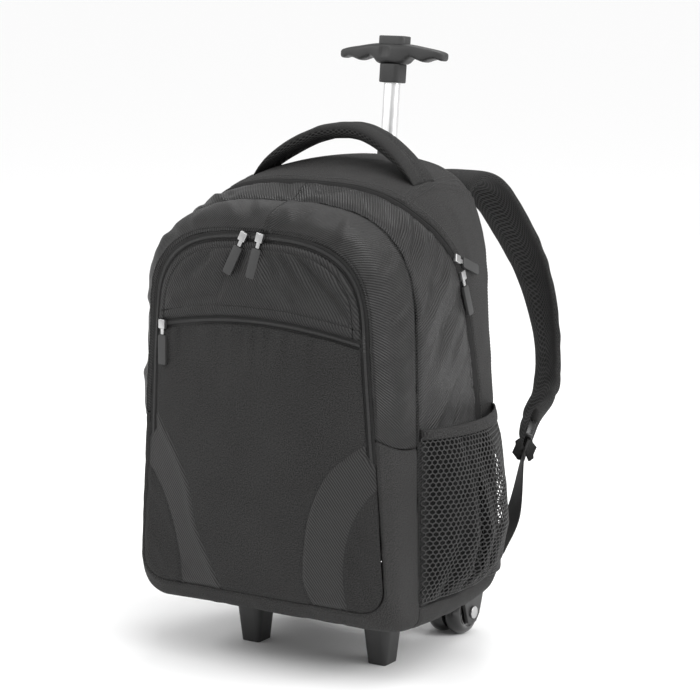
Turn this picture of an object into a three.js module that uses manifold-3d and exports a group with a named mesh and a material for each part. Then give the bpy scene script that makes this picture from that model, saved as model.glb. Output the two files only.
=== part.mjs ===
// Wheeled backpack: a soft zipped bag on two front feet and two rear twin wheels,
// with a telescopic pull handle, two shoulder straps and a padded grab handle.
// Millimetres, +Z up, +X to the right seen from the front, the front faces -Y.
import * as THREE from 'three';
import { mergeVertices } from 'three/addons/utils/BufferGeometryUtils.js';
import Module from 'manifold-3d';

const wasm = await Module();
wasm.setup();

// Driving dimensions
const seamGap = 0.3; // clearance between pieces that touch
const clothWall = 2; // body cloth with its backing foam
const bodyWidth = 312;
const bodyHeight = 436; // from the lowest cloth to the top of the arch
const bodyDepth = 235; // from the front seam to the edge of the back panel
const bodyBottom = 58; // height of the lowest cloth above the floor
const frontOverhang = 92; // front seam ahead of the front of the feet
const bottomCorner = 28; // radius of the front panel's two lower corners
const frontCrown = 13; // how far the filled front panel swells
const backCrown = 5;
const backSeamInset = 3;

const baseBandHeight = 27; // side band of the base above the lowest cloth
const cornerPieceHeight = 182; // corner pieces of the front pocket
const zipWidth = 9; // coil and the tape that shows
const frontZipInset = 4; // front zip inside the front seam
const slipZipHeight = 295; // middle of the slip pocket's zip above the lowest cloth
const slipZipDrop = 26; // how far that zip falls to the side seams
const mainZipEnd = 157; // lower ends of the main zip above the lowest cloth

const pocketTop = 196; // top edge of the side pockets above the lowest cloth
const pocketBulge = 38;
const netWall = 1.6;
const netRows = 7;
const netColumns = 7;
const netHole = 0.74; // share of a cell that its hole takes
const bindingHeight = 10;
const bindingWall = 3;

const strapWidth = 62;
const strapThickness = 11;
const strapReach = 178; // how far the strap stands out behind the bag
const tabLength = 7; // webbing between the strap and its buckle
const webbingWidth = 26;
const webbingWall = 1.6;
const buckleWidth = 35;
const buckleLength = 27;
const buckleThickness = 7;

const grabSpan = 188;
const grabWidth = 40;
const grabThickness = 16;
const grabTab = 3.5; // thickness of the sewn ends
const grabRise = 20; // finger room under the middle
const grabLean = 14; // how far the middle leans back
const grabPlace = 58; // sewn ends behind the front of the feet

const footSpacing = 151; // between the middles of the feet
const footSole = { width: 21, depth: 23 };
const footFlare = 7; // each side, from the sole to the bag

const wheelRadius = 24;
const treadWidth = 18;
const treadGap = 2; // between the two treads of a twin wheel
const treadRound = 6;
const grooveDepth = 9;
const wheelSpacing = 164; // between the middles of the twin wheels
const axleRadius = 4;
const axlePlace = 142; // behind the front of the feet
const axleHead = { radius: 6.5, thickness: 2 };
const cheekWall = 3.5;
const wheelClearance = 1;
const bracketRoof = 2.5; // clear of the tyre
const bracketAhead = 54; // from the axle to the bracket's front edge
const bracketBehind = 27;
const bracketBack = 8; // back plate above the side band of the base

const poleWidth = 17;
const poleDepth = 13;
const poleCorner = 6;
const poleWall = 1.3;
const poleLean = 6.45; // degrees towards the back
const poleAhead = 12.75; // pole axis ahead of the back panel's seam, at the top of the body
const sleeveWall = 2.5;
const poleLength = 412;
const poleShown = 68; // bare pole between the bag and the collar
const collarWidth = 25;
const collarDepth = 20;
const collarHeight = 19;
const gripSpan = 125;
const gripHeight = 21;
const gripDepth = 23;
const buttonWidth = 31;
const buttonDepth = 18;
const buttonCorner = 5;
const buttonShown = 7; // button above the grip
const buttonTravel = 4;

const sliderWidth = 8;
const sliderLength = 9;
const sliderHeight = 4;
const linkWidth = 4;
const linkLength = 6;
const linkWall = 1.6;
const pullWidth = 10;
const pullLength = 29;
const pullThickness = 3;

// Finishes
const finish = (color, roughness, metalness = 0) => (
  new THREE.MeshStandardMaterial({ color, roughness, metalness })
);
const plainCloth = finish(0x3a3838, 0.9);
const twillCloth = finish(0x434141, 0.75);
const airMesh = finish(0x262626, 0.95);
const netCloth = finish(0x2c2c2c, 0.9);
const tapeCloth = finish(0x2f2e2e, 0.85);
const blackPlastic = finish(0x2b2b2c, 0.5);
const greyRubber = finish(0x3f4042, 0.6);
const tyreRubber = finish(0x2a2a2b, 0.4);
const aluminium = finish(0xd9d9d6, 0.3, 1);
const nickel = finish(0xc8c6c2, 0.25, 1);

// Solids: closed meshes are joined and cut as manifolds
function solidOf(geometry) {
  const bare = geometry.clone();
  for (const name of Object.keys(bare.attributes)) {
    if (name !== 'position') bare.deleteAttribute(name);
  }
  const merged = mergeVertices(bare, 1e-4);
  return new wasm.Manifold(new wasm.Mesh({
    numProp: 3,
    vertProperties: new Float32Array(merged.attributes.position.array),
    triVerts: new Uint32Array(merged.index.array),
  }));
}

function geometryOf(solid) {
  const mesh = solid.getMesh();
  const geometry = new THREE.BufferGeometry();
  geometry.setAttribute('position', new THREE.BufferAttribute(new Float32Array(mesh.vertProperties), 3));
  geometry.setIndex(new THREE.BufferAttribute(new Uint32Array(mesh.triVerts), 1));
  return geometry;
}

// A closed skin over rings that all have the same number of points
function loft(rings) {
  const count = rings[0].length;
  const points = rings.flat();
  const faces = [];
  for (let r = 0; r + 1 < rings.length; r++) {
    for (let i = 0; i < count; i++) {
      const a = r * count + i;
      const b = r * count + (i + 1) % count;
      faces.push(a, b, b + count, a, b + count, a + count);
    }
  }
  for (const [ring, turned] of [[0, true], [rings.length - 1, false]]) {
    const middle = new THREE.Vector3();
    for (const point of rings[ring]) middle.addScaledVector(point, 1 / count);
    points.push(middle);
    for (let i = 0; i < count; i++) {
      const a = ring * count + i;
      const b = ring * count + (i + 1) % count;
      faces.push(...(turned ? [b, a, points.length - 1] : [a, b, points.length - 1]));
    }
  }
  if (volumeOf(points, faces) < 0) faces.reverse();
  return meshOf(points, faces);
}

function meshOf(points, faces) {
  const geometry = new THREE.BufferGeometry();
  geometry.setAttribute('position', new THREE.Float32BufferAttribute(points.flatMap((p) => p.toArray()), 3));
  geometry.setIndex(faces);
  return geometry;
}

function volumeOf(points, faces) {
  let volume = 0;
  const normal = new THREE.Vector3();
  for (let f = 0; f < faces.length; f += 3) {
    volume += points[faces[f]].dot(normal.crossVectors(points[faces[f + 1]], points[faces[f + 2]])) / 6;
  }
  return volume;
}

// A closed outline in the XZ plane carried along Y, or one in the YZ plane carried along X
function prism(outline, from, to, axes) {
  const shape = new THREE.Shape(outline.map(([a, b]) => new THREE.Vector2(a, b)));
  const geometry = new THREE.ExtrudeGeometry(shape, { depth: to - from, bevelEnabled: false });
  geometry.applyMatrix4(new THREE.Matrix4().makeBasis(...axes));
  return geometry;
}
const axis = { x: new THREE.Vector3(1, 0, 0), y: new THREE.Vector3(0, 1, 0), z: new THREE.Vector3(0, 0, 1) };
const alongY = (outline, from, to) => (
  prism(outline, from, to, [axis.x, axis.z, axis.y.clone().negate()]).translate(0, to, 0)
);
const alongX = (outline, from, to) => (
  prism(outline, from, to, [axis.y, axis.z, axis.x]).translate(from, 0, 0)
);

// A rounded rectangle as a shape or a hole
function roundedRectangle(width, depth, corner) {
  const shape = new THREE.Shape();
  const x = width / 2 - corner;
  const y = depth / 2 - corner;
  shape.absarc(x, y, corner, 0, Math.PI / 2);
  shape.absarc(-x, y, corner, Math.PI / 2, Math.PI);
  shape.absarc(-x, -y, corner, Math.PI, 1.5 * Math.PI);
  shape.absarc(x, -y, corner, 1.5 * Math.PI, 2 * Math.PI);
  return shape;
}

function roundedBlock(width, depth, corner, height, bore = null, curveSegments = 2) {
  const shape = roundedRectangle(width, depth, corner);
  if (bore) shape.holes.push(roundedRectangle(bore.width, bore.depth, bore.corner));
  return new THREE.ExtrudeGeometry(shape, { depth: height, bevelEnabled: false, curveSegments });
}

const box = (min, max) => {
  const geometry = new THREE.BoxGeometry(max[0] - min[0], max[1] - min[1], max[2] - min[2]);
  return geometry.translate((min[0] + max[0]) / 2, (min[1] + max[1]) / 2, (min[2] + max[2]) / 2);
};

// The group and its named pieces
const bag = new THREE.Group();
function add(name, piece, material, parent = bag) {
  const mesh = new THREE.Mesh(piece.isBufferGeometry ? piece : geometryOf(piece), material);
  mesh.name = name;
  parent.add(mesh);
  return mesh;
}

// Sections of the bag from the front seam to the edge of the back panel.
// at: place along the body depth; lean: extra place at the top; base, shoulder: half widths as
// shares of half the body width; foot, waist, top: heights as shares of the body height;
// arch: how square the arch is. bows: how far the middle of the top stands back; corners: shares of
// the front panel's corner radius.
const sections = {
  seam: { at: 0, lean: -0.012, base: 0.915, shoulder: 0.82, foot: 0.046, waist: 0.635, top: 0.878, arch: 3 },
  gusset: { at: 0.05, lean: -0.01, base: 0.955, shoulder: 0.88, foot: 0.016, waist: 0.635, top: 0.9, arch: 3 },
  middle: { at: 0.2, lean: 0, base: 0.975, shoulder: 0.945, foot: 0, waist: 0.63, top: 0.931, arch: 3 },
  zip: { at: 0.4, lean: 0, base: 1, shoulder: 0.96, foot: 0, waist: 0.64, top: 0.963, arch: 3 },
  rear: { at: 0.645, lean: 0, base: 1, shoulder: 0.935, foot: 0.003, waist: 0.658, top: 0.99, arch: 2.9 },
  hip: { at: 0.81, lean: 0.06, base: 0.99, shoulder: 0.865, foot: 0.01, waist: 0.66, top: 0.998, arch: 2.7 },
  back: { at: 0.877, lean: 0.123, base: 0.975, shoulder: 0.81, foot: 0.023, waist: 0.66, top: 0.99, arch: 2.7 },
};
const bows = { hip: 0.015, back: 0.064 };
const corners = { seam: 1, gusset: 0.85, middle: 0.6, zip: 0.6, rear: 0.65, hip: 0.75, back: 0.9 };
for (const [name, section] of Object.entries(sections)) {
  section.bow = bows[name] ?? 0;
  section.corner = corners[name];
}

// Outline of one section, counter-clockwise from the middle of the bottom seen from the front
const archSteps = 6;
function sizesOf(section, inset = 0) {
  const half = bodyWidth / 2;
  return {
    base: section.base * half - inset,
    shoulder: section.shoulder * half - inset,
    foot: bodyBottom + section.foot * bodyHeight + inset,
    waist: bodyBottom + section.waist * bodyHeight,
    top: bodyBottom + section.top * bodyHeight - inset,
    corner: section.corner * bottomCorner - inset,
    arch: section.arch,
  };
}

function halfOutline(section, inset) {
  const s = sizesOf(section, inset);
  const points = [[0, s.foot], [(s.base - s.corner) / 2, s.foot]];
  for (let i = 0; i <= 3; i++) {
    const angle = (i / 3) * Math.PI / 2;
    points.push([
      s.base - s.corner + s.corner * Math.sin(angle),
      s.foot + s.corner * (1 - Math.cos(angle)),
    ]);
  }
  const low = s.foot + s.corner;
  points.push([(s.base + s.shoulder) / 2, (low + s.waist) / 2]);
  for (let i = 0; i < archSteps; i++) {
    const angle = (i / archSteps) * Math.PI / 2;
    points.push([
      s.shoulder * Math.cos(angle) ** (2 / s.arch),
      s.waist + (s.top - s.waist) * Math.sin(angle) ** (2 / s.arch),
    ]);
  }
  points.push([0, s.top]);
  return points;
}

function outline(section, inset = 0) {
  const half = halfOutline(section, inset);
  const mirrored = half.slice(1, -1).reverse().map(([x, z]) => [-x, z]);
  return [...half, ...mirrored];
}

// Place of a section's cloth along Y at one height and half width
function placeOf(section, x, z) {
  const rise = (z - bodyBottom) / bodyHeight;
  const across = 1 - (x / (section.shoulder * bodyWidth / 2)) ** 2;
  const share = section.at + section.lean * rise + section.bow * rise * Math.max(across, 0);
  return share * bodyDepth - frontOverhang;
}

function ring(section, inset = 0, shift = 0) {
  return outline(section, inset).map(([x, z]) => new THREE.Vector3(x, placeOf(section, x, z) + shift, z));
}

// Rings of a swelling end, shrinking from the outline towards its middle
const capShares = [0.93, 0.72, 0.4];
function capRings(section, inset, shift, crown) {
  const middle = capMiddle(section);
  return capShares.map((share) => outline(section, inset).map(([x, z]) => {
    const at = [x * share, middle + (z - middle) * share];
    return new THREE.Vector3(at[0], placeOf(section, ...at) + shift + crown * (1 - share ** 2), at[1]);
  }));
}
const capMiddle = (section) => bodyBottom + bodyHeight * (section.foot + section.top) / 2;

// Share of the outline's size at which a point of an end lies
function capShare(section, x, z) {
  const middle = capMiddle(section);
  const s = sizesOf(section);
  const reach = z > middle ? (z - middle) / (s.top - middle) : (middle - z) / (middle - s.foot);
  return Math.min(1, ((Math.abs(x) / s.shoulder) ** s.arch + reach ** s.arch) ** (1 / s.arch));
}
const swell = (section, x, z) => 1 - capShare(section, x, z) ** 2;
const frontFace = (x, z) => placeOf(sections.seam, x, z) - frontCrown * swell(sections.seam, x, z);
const backFace = (x, z) => placeOf(sections.back, x, z) + backCrown * swell(sections.back, x, z);

// Body size between two sections, at the place of one point
function sectionAt(x, y, z) {
  const rows = Object.values(sections);
  const places = rows.map((row) => placeOf(row, x, z));
  let next = 1;
  while (next + 1 < rows.length && places[next] < y) next++;
  const [a, b] = [rows[next - 1], rows[next]];
  const share = (y - places[next - 1]) / (places[next] - places[next - 1]);
  return Object.fromEntries(Object.keys(a).map((key) => [key, a[key] + (b[key] - a[key]) * share]));
}

function sideFace(y, z) {
  const s = sizesOf(sectionAt(bodyWidth / 2, y, z));
  if (z > s.waist) {
    const rise = Math.min(1, (z - s.waist) / (s.top - s.waist));
    return s.shoulder * (1 - rise ** s.arch) ** (1 / s.arch);
  }
  return s.base + (s.shoulder - s.base) * (z - s.foot - s.corner) / (s.waist - s.foot - s.corner);
}

const archHeight = (s, x) => (
  s.waist + (s.top - s.waist) * (1 - (Math.abs(x) / s.shoulder) ** s.arch) ** (1 / s.arch)
);
const topFace = (x, y) => archHeight(sizesOf(sectionAt(x, y, bodyBottom + bodyHeight)), x);
const bottomFace = (y) => sizesOf(sectionAt(0, y, bodyBottom)).foot;

// Cloth shells: the rear compartment is closed by the wall behind the front pocket
const { seam, gusset, middle, zip, rear, hip, back } = sections;
const wide = 1000; // cutters reach past the bag
const rearShell = (() => {
  const outer = solidOf(loft([
    ring(middle), ring(zip), ring(rear), ring(hip), ring(back), ...capRings(back, 0, 0, backCrown),
  ]));
  const inner = solidOf(loft([
    ring(middle, clothWall, clothWall), ring(zip, clothWall), ring(rear, clothWall), ring(hip, clothWall),
    ring(back, clothWall, -clothWall), ...capRings(back, clothWall, -clothWall, backCrown),
  ]));
  return outer.subtract(inner);
})();
const frontShell = (() => {
  const outer = solidOf(loft([
    ring(middle, 0, -seamGap), ring(gusset), ring(seam), ...capRings(seam, 0, 0, -frontCrown),
  ]));
  const inner = solidOf(loft([
    ring(middle, clothWall, clothWall), ring(gusset, clothWall), ring(seam, clothWall, clothWall),
    ...capRings(seam, clothWall, clothWall, -frontCrown),
  ]));
  return outer.subtract(inner);
})();

const above = (z) => solidOf(box([-wide, -wide, z], [wide, wide, wide]));
const below = (z) => solidOf(box([-wide, -wide, -wide], [wide, wide, z]));
const insideOf = (section, inset, from, to) => solidOf(alongY(outline(section, inset), from, to));

// Front pocket: gusset, corner pieces with the bottom, zip, and the panel that the slip pocket divides
const frontY = [-wide, placeOf(seam, 0, bodyBottom) + clothWall + bottomCorner / 4];
const cornerTop = bodyBottom + cornerPieceHeight;
const frontRim = frontShell.subtract(insideOf(seam, frontZipInset, ...frontY));
add('front_gusset', frontRim.intersect(above(cornerTop + seamGap)), twillCloth);
add('front_base', frontRim.intersect(below(cornerTop)), plainCloth);

const seamPanel = frontShell.intersect(insideOf(seam, frontZipInset + seamGap, ...frontY));
const zipInner = insideOf(seam, frontZipInset + zipWidth, ...frontY);
const zipHole = insideOf(seam, frontZipInset + zipWidth - seamGap, ...frontY);
add('front_zip', seamPanel.subtract(zipHole).intersect(above(cornerTop + seamGap)), tapeCloth);
const frontPanel = seamPanel.intersect(zipInner.add(below(cornerTop)));

const slipZipPlace = (share) => bodyBottom + slipZipHeight - slipZipDrop * share ** 2;
const slipEdge = (offset) => {
  const points = [];
  for (let i = -6; i <= 6; i++) {
    points.push([i / 6 * bodyWidth / 2, slipZipPlace(i / 6) + offset]);
  }
  return points;
};
const slipAbove = (offset) => (
  solidOf(alongY([...slipEdge(offset), [bodyWidth, wide], [-bodyWidth, wide]], ...frontY))
);
const slipBelow = (offset) => (
  solidOf(alongY([[-bodyWidth, -wide], [bodyWidth, -wide], ...slipEdge(offset).reverse()], ...frontY))
);
const slipHalf = zipWidth / 2;
add('front_panel_upper', frontPanel.intersect(slipAbove(slipHalf)), twillCloth);
add('front_panel_lower', frontPanel.intersect(slipBelow(-slipHalf)), plainCloth);
const slipBand = slipAbove(-slipHalf + seamGap).intersect(slipBelow(slipHalf - seamGap));
add('slip_zip', frontPanel.intersect(slipBand), tapeCloth);

// Main zip seen from the side. rise: share of the height over the lowest cloth; back: share of the body depth
const mainZipLine = [
  { rise: 1.1, back: 0.39 },
  { rise: 0.93, back: 0.4 },
  { rise: 0.87, back: 0.46 },
  { rise: 0.79, back: 0.545 },
  { rise: 0.7, back: 0.6 },
  { rise: 0.6, back: 0.655 },
  { rise: 0.5, back: 0.695 },
  { rise: 0.4, back: 0.705 },
  { rise: -0.2, back: 0.705 },
];
const mainZipPlace = (z) => {
  const rise = (z - bodyBottom) / bodyHeight;
  let next = 1;
  while (mainZipLine[next].rise > rise) next++;
  const [a, b] = [mainZipLine[next - 1], mainZipLine[next]];
  const share = a.back + (b.back - a.back) * (rise - a.rise) / (b.rise - a.rise);
  return share * bodyDepth - frontOverhang;
};
const zipCutter = (offset, side) => {
  const line = mainZipLine.map(({ rise, back: share }) => [
    share * bodyDepth - frontOverhang + offset,
    bodyBottom + rise * bodyHeight,
  ]);
  const far = side === 'front' ? -wide : wide;
  return solidOf(alongX([...line, [far, line.at(-1)[1]], [far, line[0][1]]], -wide, wide));
};

const bandTop = bodyBottom + baseBandHeight;
const zipEnd = bodyBottom + mainZipEnd;
const backY = [placeOf(hip, 0, bodyBottom), wide];
const backRegion = insideOf(back, backSeamInset, ...backY);
const rearRim = rearShell.subtract(backRegion);
add('back_panel', rearShell.intersect(insideOf(back, backSeamInset + seamGap, ...backY)), airMesh);
add('rear_base', rearRim.intersect(below(bandTop)), plainCloth);

// Pole: it leans back inside the rear compartment and comes out of the top
const poleAngle = THREE.MathUtils.degToRad(poleLean);
const poleFoot = placeOf(back, 0, bodyBottom + bodyHeight) - poleAhead - bodyHeight * Math.tan(poleAngle);
const pole = new THREE.Group();
pole.position.set(0, poleFoot, bodyBottom);
pole.rotation.x = -poleAngle;
pole.updateMatrixWorld();
const sleeveWidth = poleWidth + 2 * (seamGap + sleeveWall);
const sleeveDepth = poleDepth + 2 * (seamGap + sleeveWall);
const sleeveCorner = poleCorner + seamGap + sleeveWall;
const sleeveTop = (bodyHeight * hip.top + 3) / Math.cos(poleAngle);
const sleeveFloor = bottomFace(poleFoot + sleeveDepth) + clothWall + seamGap;
const sleeveBottom = sleeveFloor - bodyBottom + sleeveDepth * Math.tan(poleAngle);
const poleHole = solidOf(
  roundedBlock(sleeveWidth + 2 * seamGap, sleeveDepth + 2 * seamGap, sleeveCorner + seamGap, 2 * bodyHeight)
    .applyMatrix4(pole.matrixWorld),
).intersect(above(bodyBottom + bodyHeight / 2));

const upperRim = rearRim.intersect(above(bandTop + seamGap));
const seamBand = below(zipEnd);
const ahead = zipCutter(-zipWidth / 2, 'front').add(zipCutter(-seamGap / 2, 'front').intersect(seamBand));
const behind = zipCutter(zipWidth / 2, 'rear').add(zipCutter(seamGap / 2, 'rear').intersect(seamBand));
add('middle_gusset', upperRim.intersect(ahead), twillCloth);
add('rear_gusset', upperRim.intersect(behind).subtract(poleHole), plainCloth);
add(
  'main_zip',
  upperRim.intersect(zipCutter(-zipWidth / 2 + seamGap, 'rear'))
    .intersect(zipCutter(zipWidth / 2 - seamGap, 'front'))
    .intersect(above(zipEnd + seamGap)),
  tapeCloth,
);

// Side pockets: coarse net sewn to the side, with an elastic binding along the open top.
// front and back edges as shares of the body depth.
const pocketEdges = { front: 0.21, back: 0.865 };
const pocketSwell = [
  { rise: 0, share: 0.06 },
  { rise: 0.12, share: 0.6 },
  { rise: 0.35, share: 1 },
  { rise: 0.6, share: 1 },
  { rise: 0.85, share: 0.78 },
  { rise: 1, share: 0.5 },
];
const pocketSwellAt = (rise) => {
  let next = 1;
  while (next + 1 < pocketSwell.length && pocketSwell[next].rise < rise) next++;
  const [a, b] = [pocketSwell[next - 1], pocketSwell[next]];
  return a.share + (b.share - a.share) * (rise - a.rise) / (b.rise - a.rise);
};
function pocketPoint(across, rise, out) {
  const share = pocketEdges.front + (pocketEdges.back - pocketEdges.front) * across;
  const y = share * bodyDepth - frontOverhang;
  const z = bandTop + (bodyBottom + pocketTop - bandTop) * rise;
  const bulge = pocketBulge * pocketSwellAt(rise) * Math.sin(Math.PI * across) ** 0.75;
  return new THREE.Vector3(sideFace(y, z) + 3 * seamGap + bulge + out, y, z);
}
// A curved sheet with a wall, over rows at the given rises. A hole is a share of each cell; each
// point is put once on each face of the sheet.
function pocketSheet(rises, wall, hole) {
  const rows = rises.length - 1;
  const points = [];
  const faces = [];
  const put = (column, row) => [wall, 0].map((out) => {
    const low = Math.min(Math.floor(row), rows - 1);
    const rise = rises[low] + (rises[low + 1] - rises[low]) * (row - low);
    return points.push(pocketPoint(column / netColumns, rise, out)) - 1;
  });
  const skin = (p, q, r) => faces.push(p[0], q[0], r[0], p[1], r[1], q[1]);
  const edge = (p, q) => faces.push(p[0], q[0], q[1], p[0], q[1], p[1]);
  const knots = Array.from({ length: rows + 1 }, (_, row) => (
    Array.from({ length: netColumns + 1 }, (_, column) => put(column, row))
  ));
  const diamond = [[0, -hole / 2], [hole / 2, 0], [0, hole / 2], [-hole / 2, 0]];
  for (let row = 0; row < rows; row++) {
    for (let column = 0; column < netColumns; column++) {
      const corners = [[0, 0], [1, 0], [1, 1], [0, 1]].map(([i, j]) => knots[row + j][column + i]);
      if (hole === 0) {
        skin(corners[0], corners[1], corners[2]);
        skin(corners[0], corners[2], corners[3]);
        continue;
      }
      const inner = diamond.map(([i, j]) => put(column + 0.5 + i, row + 0.5 + j));
      for (let i = 0; i < 4; i++) {
        const next = (i + 1) % 4;
        skin(corners[i], corners[next], inner[i]);
        skin(corners[next], inner[next], inner[i]);
        edge(inner[i], inner[next]);
      }
    }
  }
  for (let column = 0; column < netColumns; column++) {
    edge(knots[0][column + 1], knots[0][column]);
    edge(knots[rows][column], knots[rows][column + 1]);
  }
  for (let row = 0; row < rows; row++) {
    edge(knots[row][0], knots[row + 1][0]);
    edge(knots[row + 1][netColumns], knots[row][netColumns]);
  }
  return meshOf(points, faces);
}
const bindingShare = bindingHeight / (pocketTop - baseBandHeight);
const netTop = 1 - bindingShare - seamGap / (pocketTop - baseBandHeight);
const netRises = Array.from({ length: netRows + 1 }, (_, row) => netTop * row / netRows);
const net = pocketSheet(netRises, netWall, netHole);
const binding = pocketSheet([1 - bindingShare, 1], bindingWall, 0);
const mirrorX = (geometry) => {
  const mirrored = geometry.clone().scale(-1, 1, 1);
  const faces = mirrored.index.array;
  for (let i = 0; i < faces.length; i += 3) [faces[i], faces[i + 1]] = [faces[i + 1], faces[i]];
  return mirrored;
};
function addPair(name, geometry, material) {
  add(`${name}_right`, geometry, material);
  add(`${name}_left`, mirrorX(geometry), material);
}
addPair('side_net', net, netCloth);
addPair('net_binding', binding, tapeCloth);

// Grab handle: padded band over the top, flattened into a sewn tab at each end
const grabSteps = 16;
const grabSection = [
  [-0.5, 0.3],
  [-0.36, 0],
  [0.36, 0],
  [0.5, 0.3],
  [0.5, 0.65],
  [0.3, 1],
  [-0.3, 1],
  [-0.5, 0.65],
];
const grab = loft(Array.from({ length: grabSteps + 1 }, (_, i) => {
  const share = 2 * i / grabSteps - 1;
  const x = share * grabSpan / 2;
  const lift = (1 - share ** 2) ** 2;
  const place = grabPlace + grabLean * lift;
  const under = (y) => topFace(x, y) + 5 * seamGap + grabRise * lift;
  const level = Math.max(under(place - grabWidth / 2), under(place + grabWidth / 2));
  const straight = Math.min(1, 8 * (1 - Math.abs(share)));
  const thick = grabTab + (grabThickness - grabTab) * (1 - share ** 6);
  return grabSection.map(([across, up]) => {
    const y = place + across * grabWidth;
    return new THREE.Vector3(x, y, under(y) + (level - under(y)) * straight + up * thick);
  });
}));
add('grab_handle', grab, twillCloth);

// Shoulder strap, from the sewn end on the back panel round to the lower end.
// x, back, z: middle of the strap as shares of the body's half width, of the strap's reach behind
// the back panel, and of the body height; turn: degrees the band is turned about its own line
// seen from above; width in shares of the strap width.
const strapRoute = [
  { x: 0.37, back: 0.0, z: 0.875, turn: 0, width: 0.95 },
  { x: 0.375, back: 0.06, z: 0.92, turn: 0, width: 0.97 },
  { x: 0.4, back: 0.2, z: 0.945, turn: -4, width: 1 },
  { x: 0.435, back: 0.4, z: 0.915, turn: -8, width: 1 },
  { x: 0.465, back: 0.62, z: 0.83, turn: -13, width: 1 },
  { x: 0.5, back: 0.82, z: 0.73, turn: -20, width: 1 },
  { x: 0.54, back: 0.92, z: 0.64, turn: -28, width: 0.98 },
  { x: 0.59, back: 0.945, z: 0.55, turn: -36, width: 0.95 },
  { x: 0.645, back: 0.895, z: 0.475, turn: -43, width: 0.9 },
  { x: 0.705, back: 0.765, z: 0.415, turn: -48, width: 0.86 },
  { x: 0.765, back: 0.59, z: 0.378, turn: -55, width: 0.85 },
  { x: 0.82, back: 0.42, z: 0.352, turn: -62, width: 0.86 },
  { x: 0.845, back: 0.35, z: 0.34, turn: -66, width: 0.86 },
];
const strapMiddles = strapRoute.map((row, i) => {
  const x = row.x * bodyWidth / 2;
  const z = bodyBottom + row.z * bodyHeight;
  const sewn = backFace(x - strapWidth / 2, z) + strapThickness / 2 + seamGap;
  const free = placeOf(back, 0, bodyBottom + bodyHeight) - strapThickness / 2 + row.back * strapReach;
  return new THREE.Vector3(x, i === 0 ? sewn : free, z);
});
const strapLine = new THREE.CatmullRomCurve3(strapMiddles);
const strapSteps = 20;
function strapFrame(share) {
  const place = share * (strapRoute.length - 1);
  const low = Math.min(Math.floor(place), strapRoute.length - 2);
  const t = place - low;
  const blend = (key) => strapRoute[low][key] + (strapRoute[low + 1][key] - strapRoute[low][key]) * t;
  const point = strapLine.getPoint(share);
  const along = strapLine.getTangent(share);
  const turn = THREE.MathUtils.degToRad(blend('turn'));
  const across = new THREE.Vector3(Math.cos(turn), Math.sin(turn), 0);
  across.addScaledVector(along, -across.dot(along)).normalize();
  const face = new THREE.Vector3().crossVectors(across, along).normalize();
  return { point, along, across, face, width: blend('width') * strapWidth };
}
const strapSection = [[-0.5, 0], [-0.4, 0.5], [0.4, 0.5], [0.5, 0], [0.4, -0.5], [-0.4, -0.5]];
const strap = loft(Array.from({ length: strapSteps + 1 }, (_, i) => {
  const frame = strapFrame(i / strapSteps);
  return strapSection.map(([a, b]) => frame.point.clone()
    .addScaledVector(frame.across, a * frame.width)
    .addScaledVector(frame.face, b * strapThickness));
}));
addPair('shoulder_strap', strap, airMesh);

// A flat band through frames that give its middle, its width's direction and its face
function flatBand(frames, width, wall) {
  const section = [[-0.5, -0.5], [0.5, -0.5], [0.5, 0.5], [-0.5, 0.5]];
  return loft(frames.map(({ point, across, face }) => section.map(([a, b]) => (
    point.clone().addScaledVector(across, a * width).addScaledVector(face, b * wall)
  ))));
}

// Ladder lock buckle below the strap, hung on a webbing tab
const strapEnd = strapFrame(1);
const pastEnd = (distance) => strapEnd.point.clone().addScaledVector(strapEnd.along, distance);
addPair(
  'strap_tab',
  flatBand([
    { ...strapEnd, point: pastEnd(seamGap) },
    { ...strapEnd, point: pastEnd(seamGap + tabLength) },
  ], webbingWidth, webbingWall),
  tapeCloth,
);
const buckle = (() => {
  const slot = { width: webbingWidth / 2 + 1, length: buckleLength / 10 };
  let frame = solidOf(roundedBlock(buckleWidth, buckleLength, 3, buckleThickness));
  for (const place of [-buckleLength / 5, buckleLength / 5]) {
    frame = frame.subtract(solidOf(box(
      [-slot.width, place - slot.length, -1],
      [slot.width, place + slot.length, buckleThickness + 1],
    )));
  }
  const hung = new THREE.Matrix4()
    .makeBasis(strapEnd.across, strapEnd.along, strapEnd.face)
    .setPosition(pastEnd(2 * seamGap + tabLength + buckleLength / 2));
  return geometryOf(frame).translate(0, 0, -buckleThickness / 2).applyMatrix4(hung);
})();
addPair('strap_buckle', buckle, blackPlastic);

// The webbing leaves the buckle's lower edge and is sewn to the side seam just above the base
const webbingSteps = 8;
const webbing = (() => {
  const start = 3 * seamGap + tabLength + buckleLength;
  const endHeight = bandTop + webbingWidth / 2;
  const end = new THREE.Vector3(
    sideFace(placeOf(back, 0, endHeight) - clothWall, endHeight) - webbingWidth / 2,
    backFace(0.42 * bodyWidth, endHeight) + webbingWall + backCrown,
    endHeight,
  );
  const hanging = pastEnd(start).lerp(end, 0.55).add(new THREE.Vector3(3, 6, -10));
  const line = new THREE.CatmullRomCurve3([pastEnd(start), pastEnd(start + 8), hanging, end]);
  const frames = Array.from({ length: webbingSteps + 1 }, (_, i) => {
    const share = i / webbingSteps;
    const along = line.getTangent(share);
    const across = strapEnd.across.clone().lerp(axis.x, share);
    across.addScaledVector(along, -across.dot(along)).normalize();
    const face = new THREE.Vector3().crossVectors(across, along).normalize();
    return { point: line.getPoint(share), across, face };
  });
  return flatBand(frames, webbingWidth, webbingWall);
})();
addPair('strap_webbing', webbing, tapeCloth);

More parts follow.
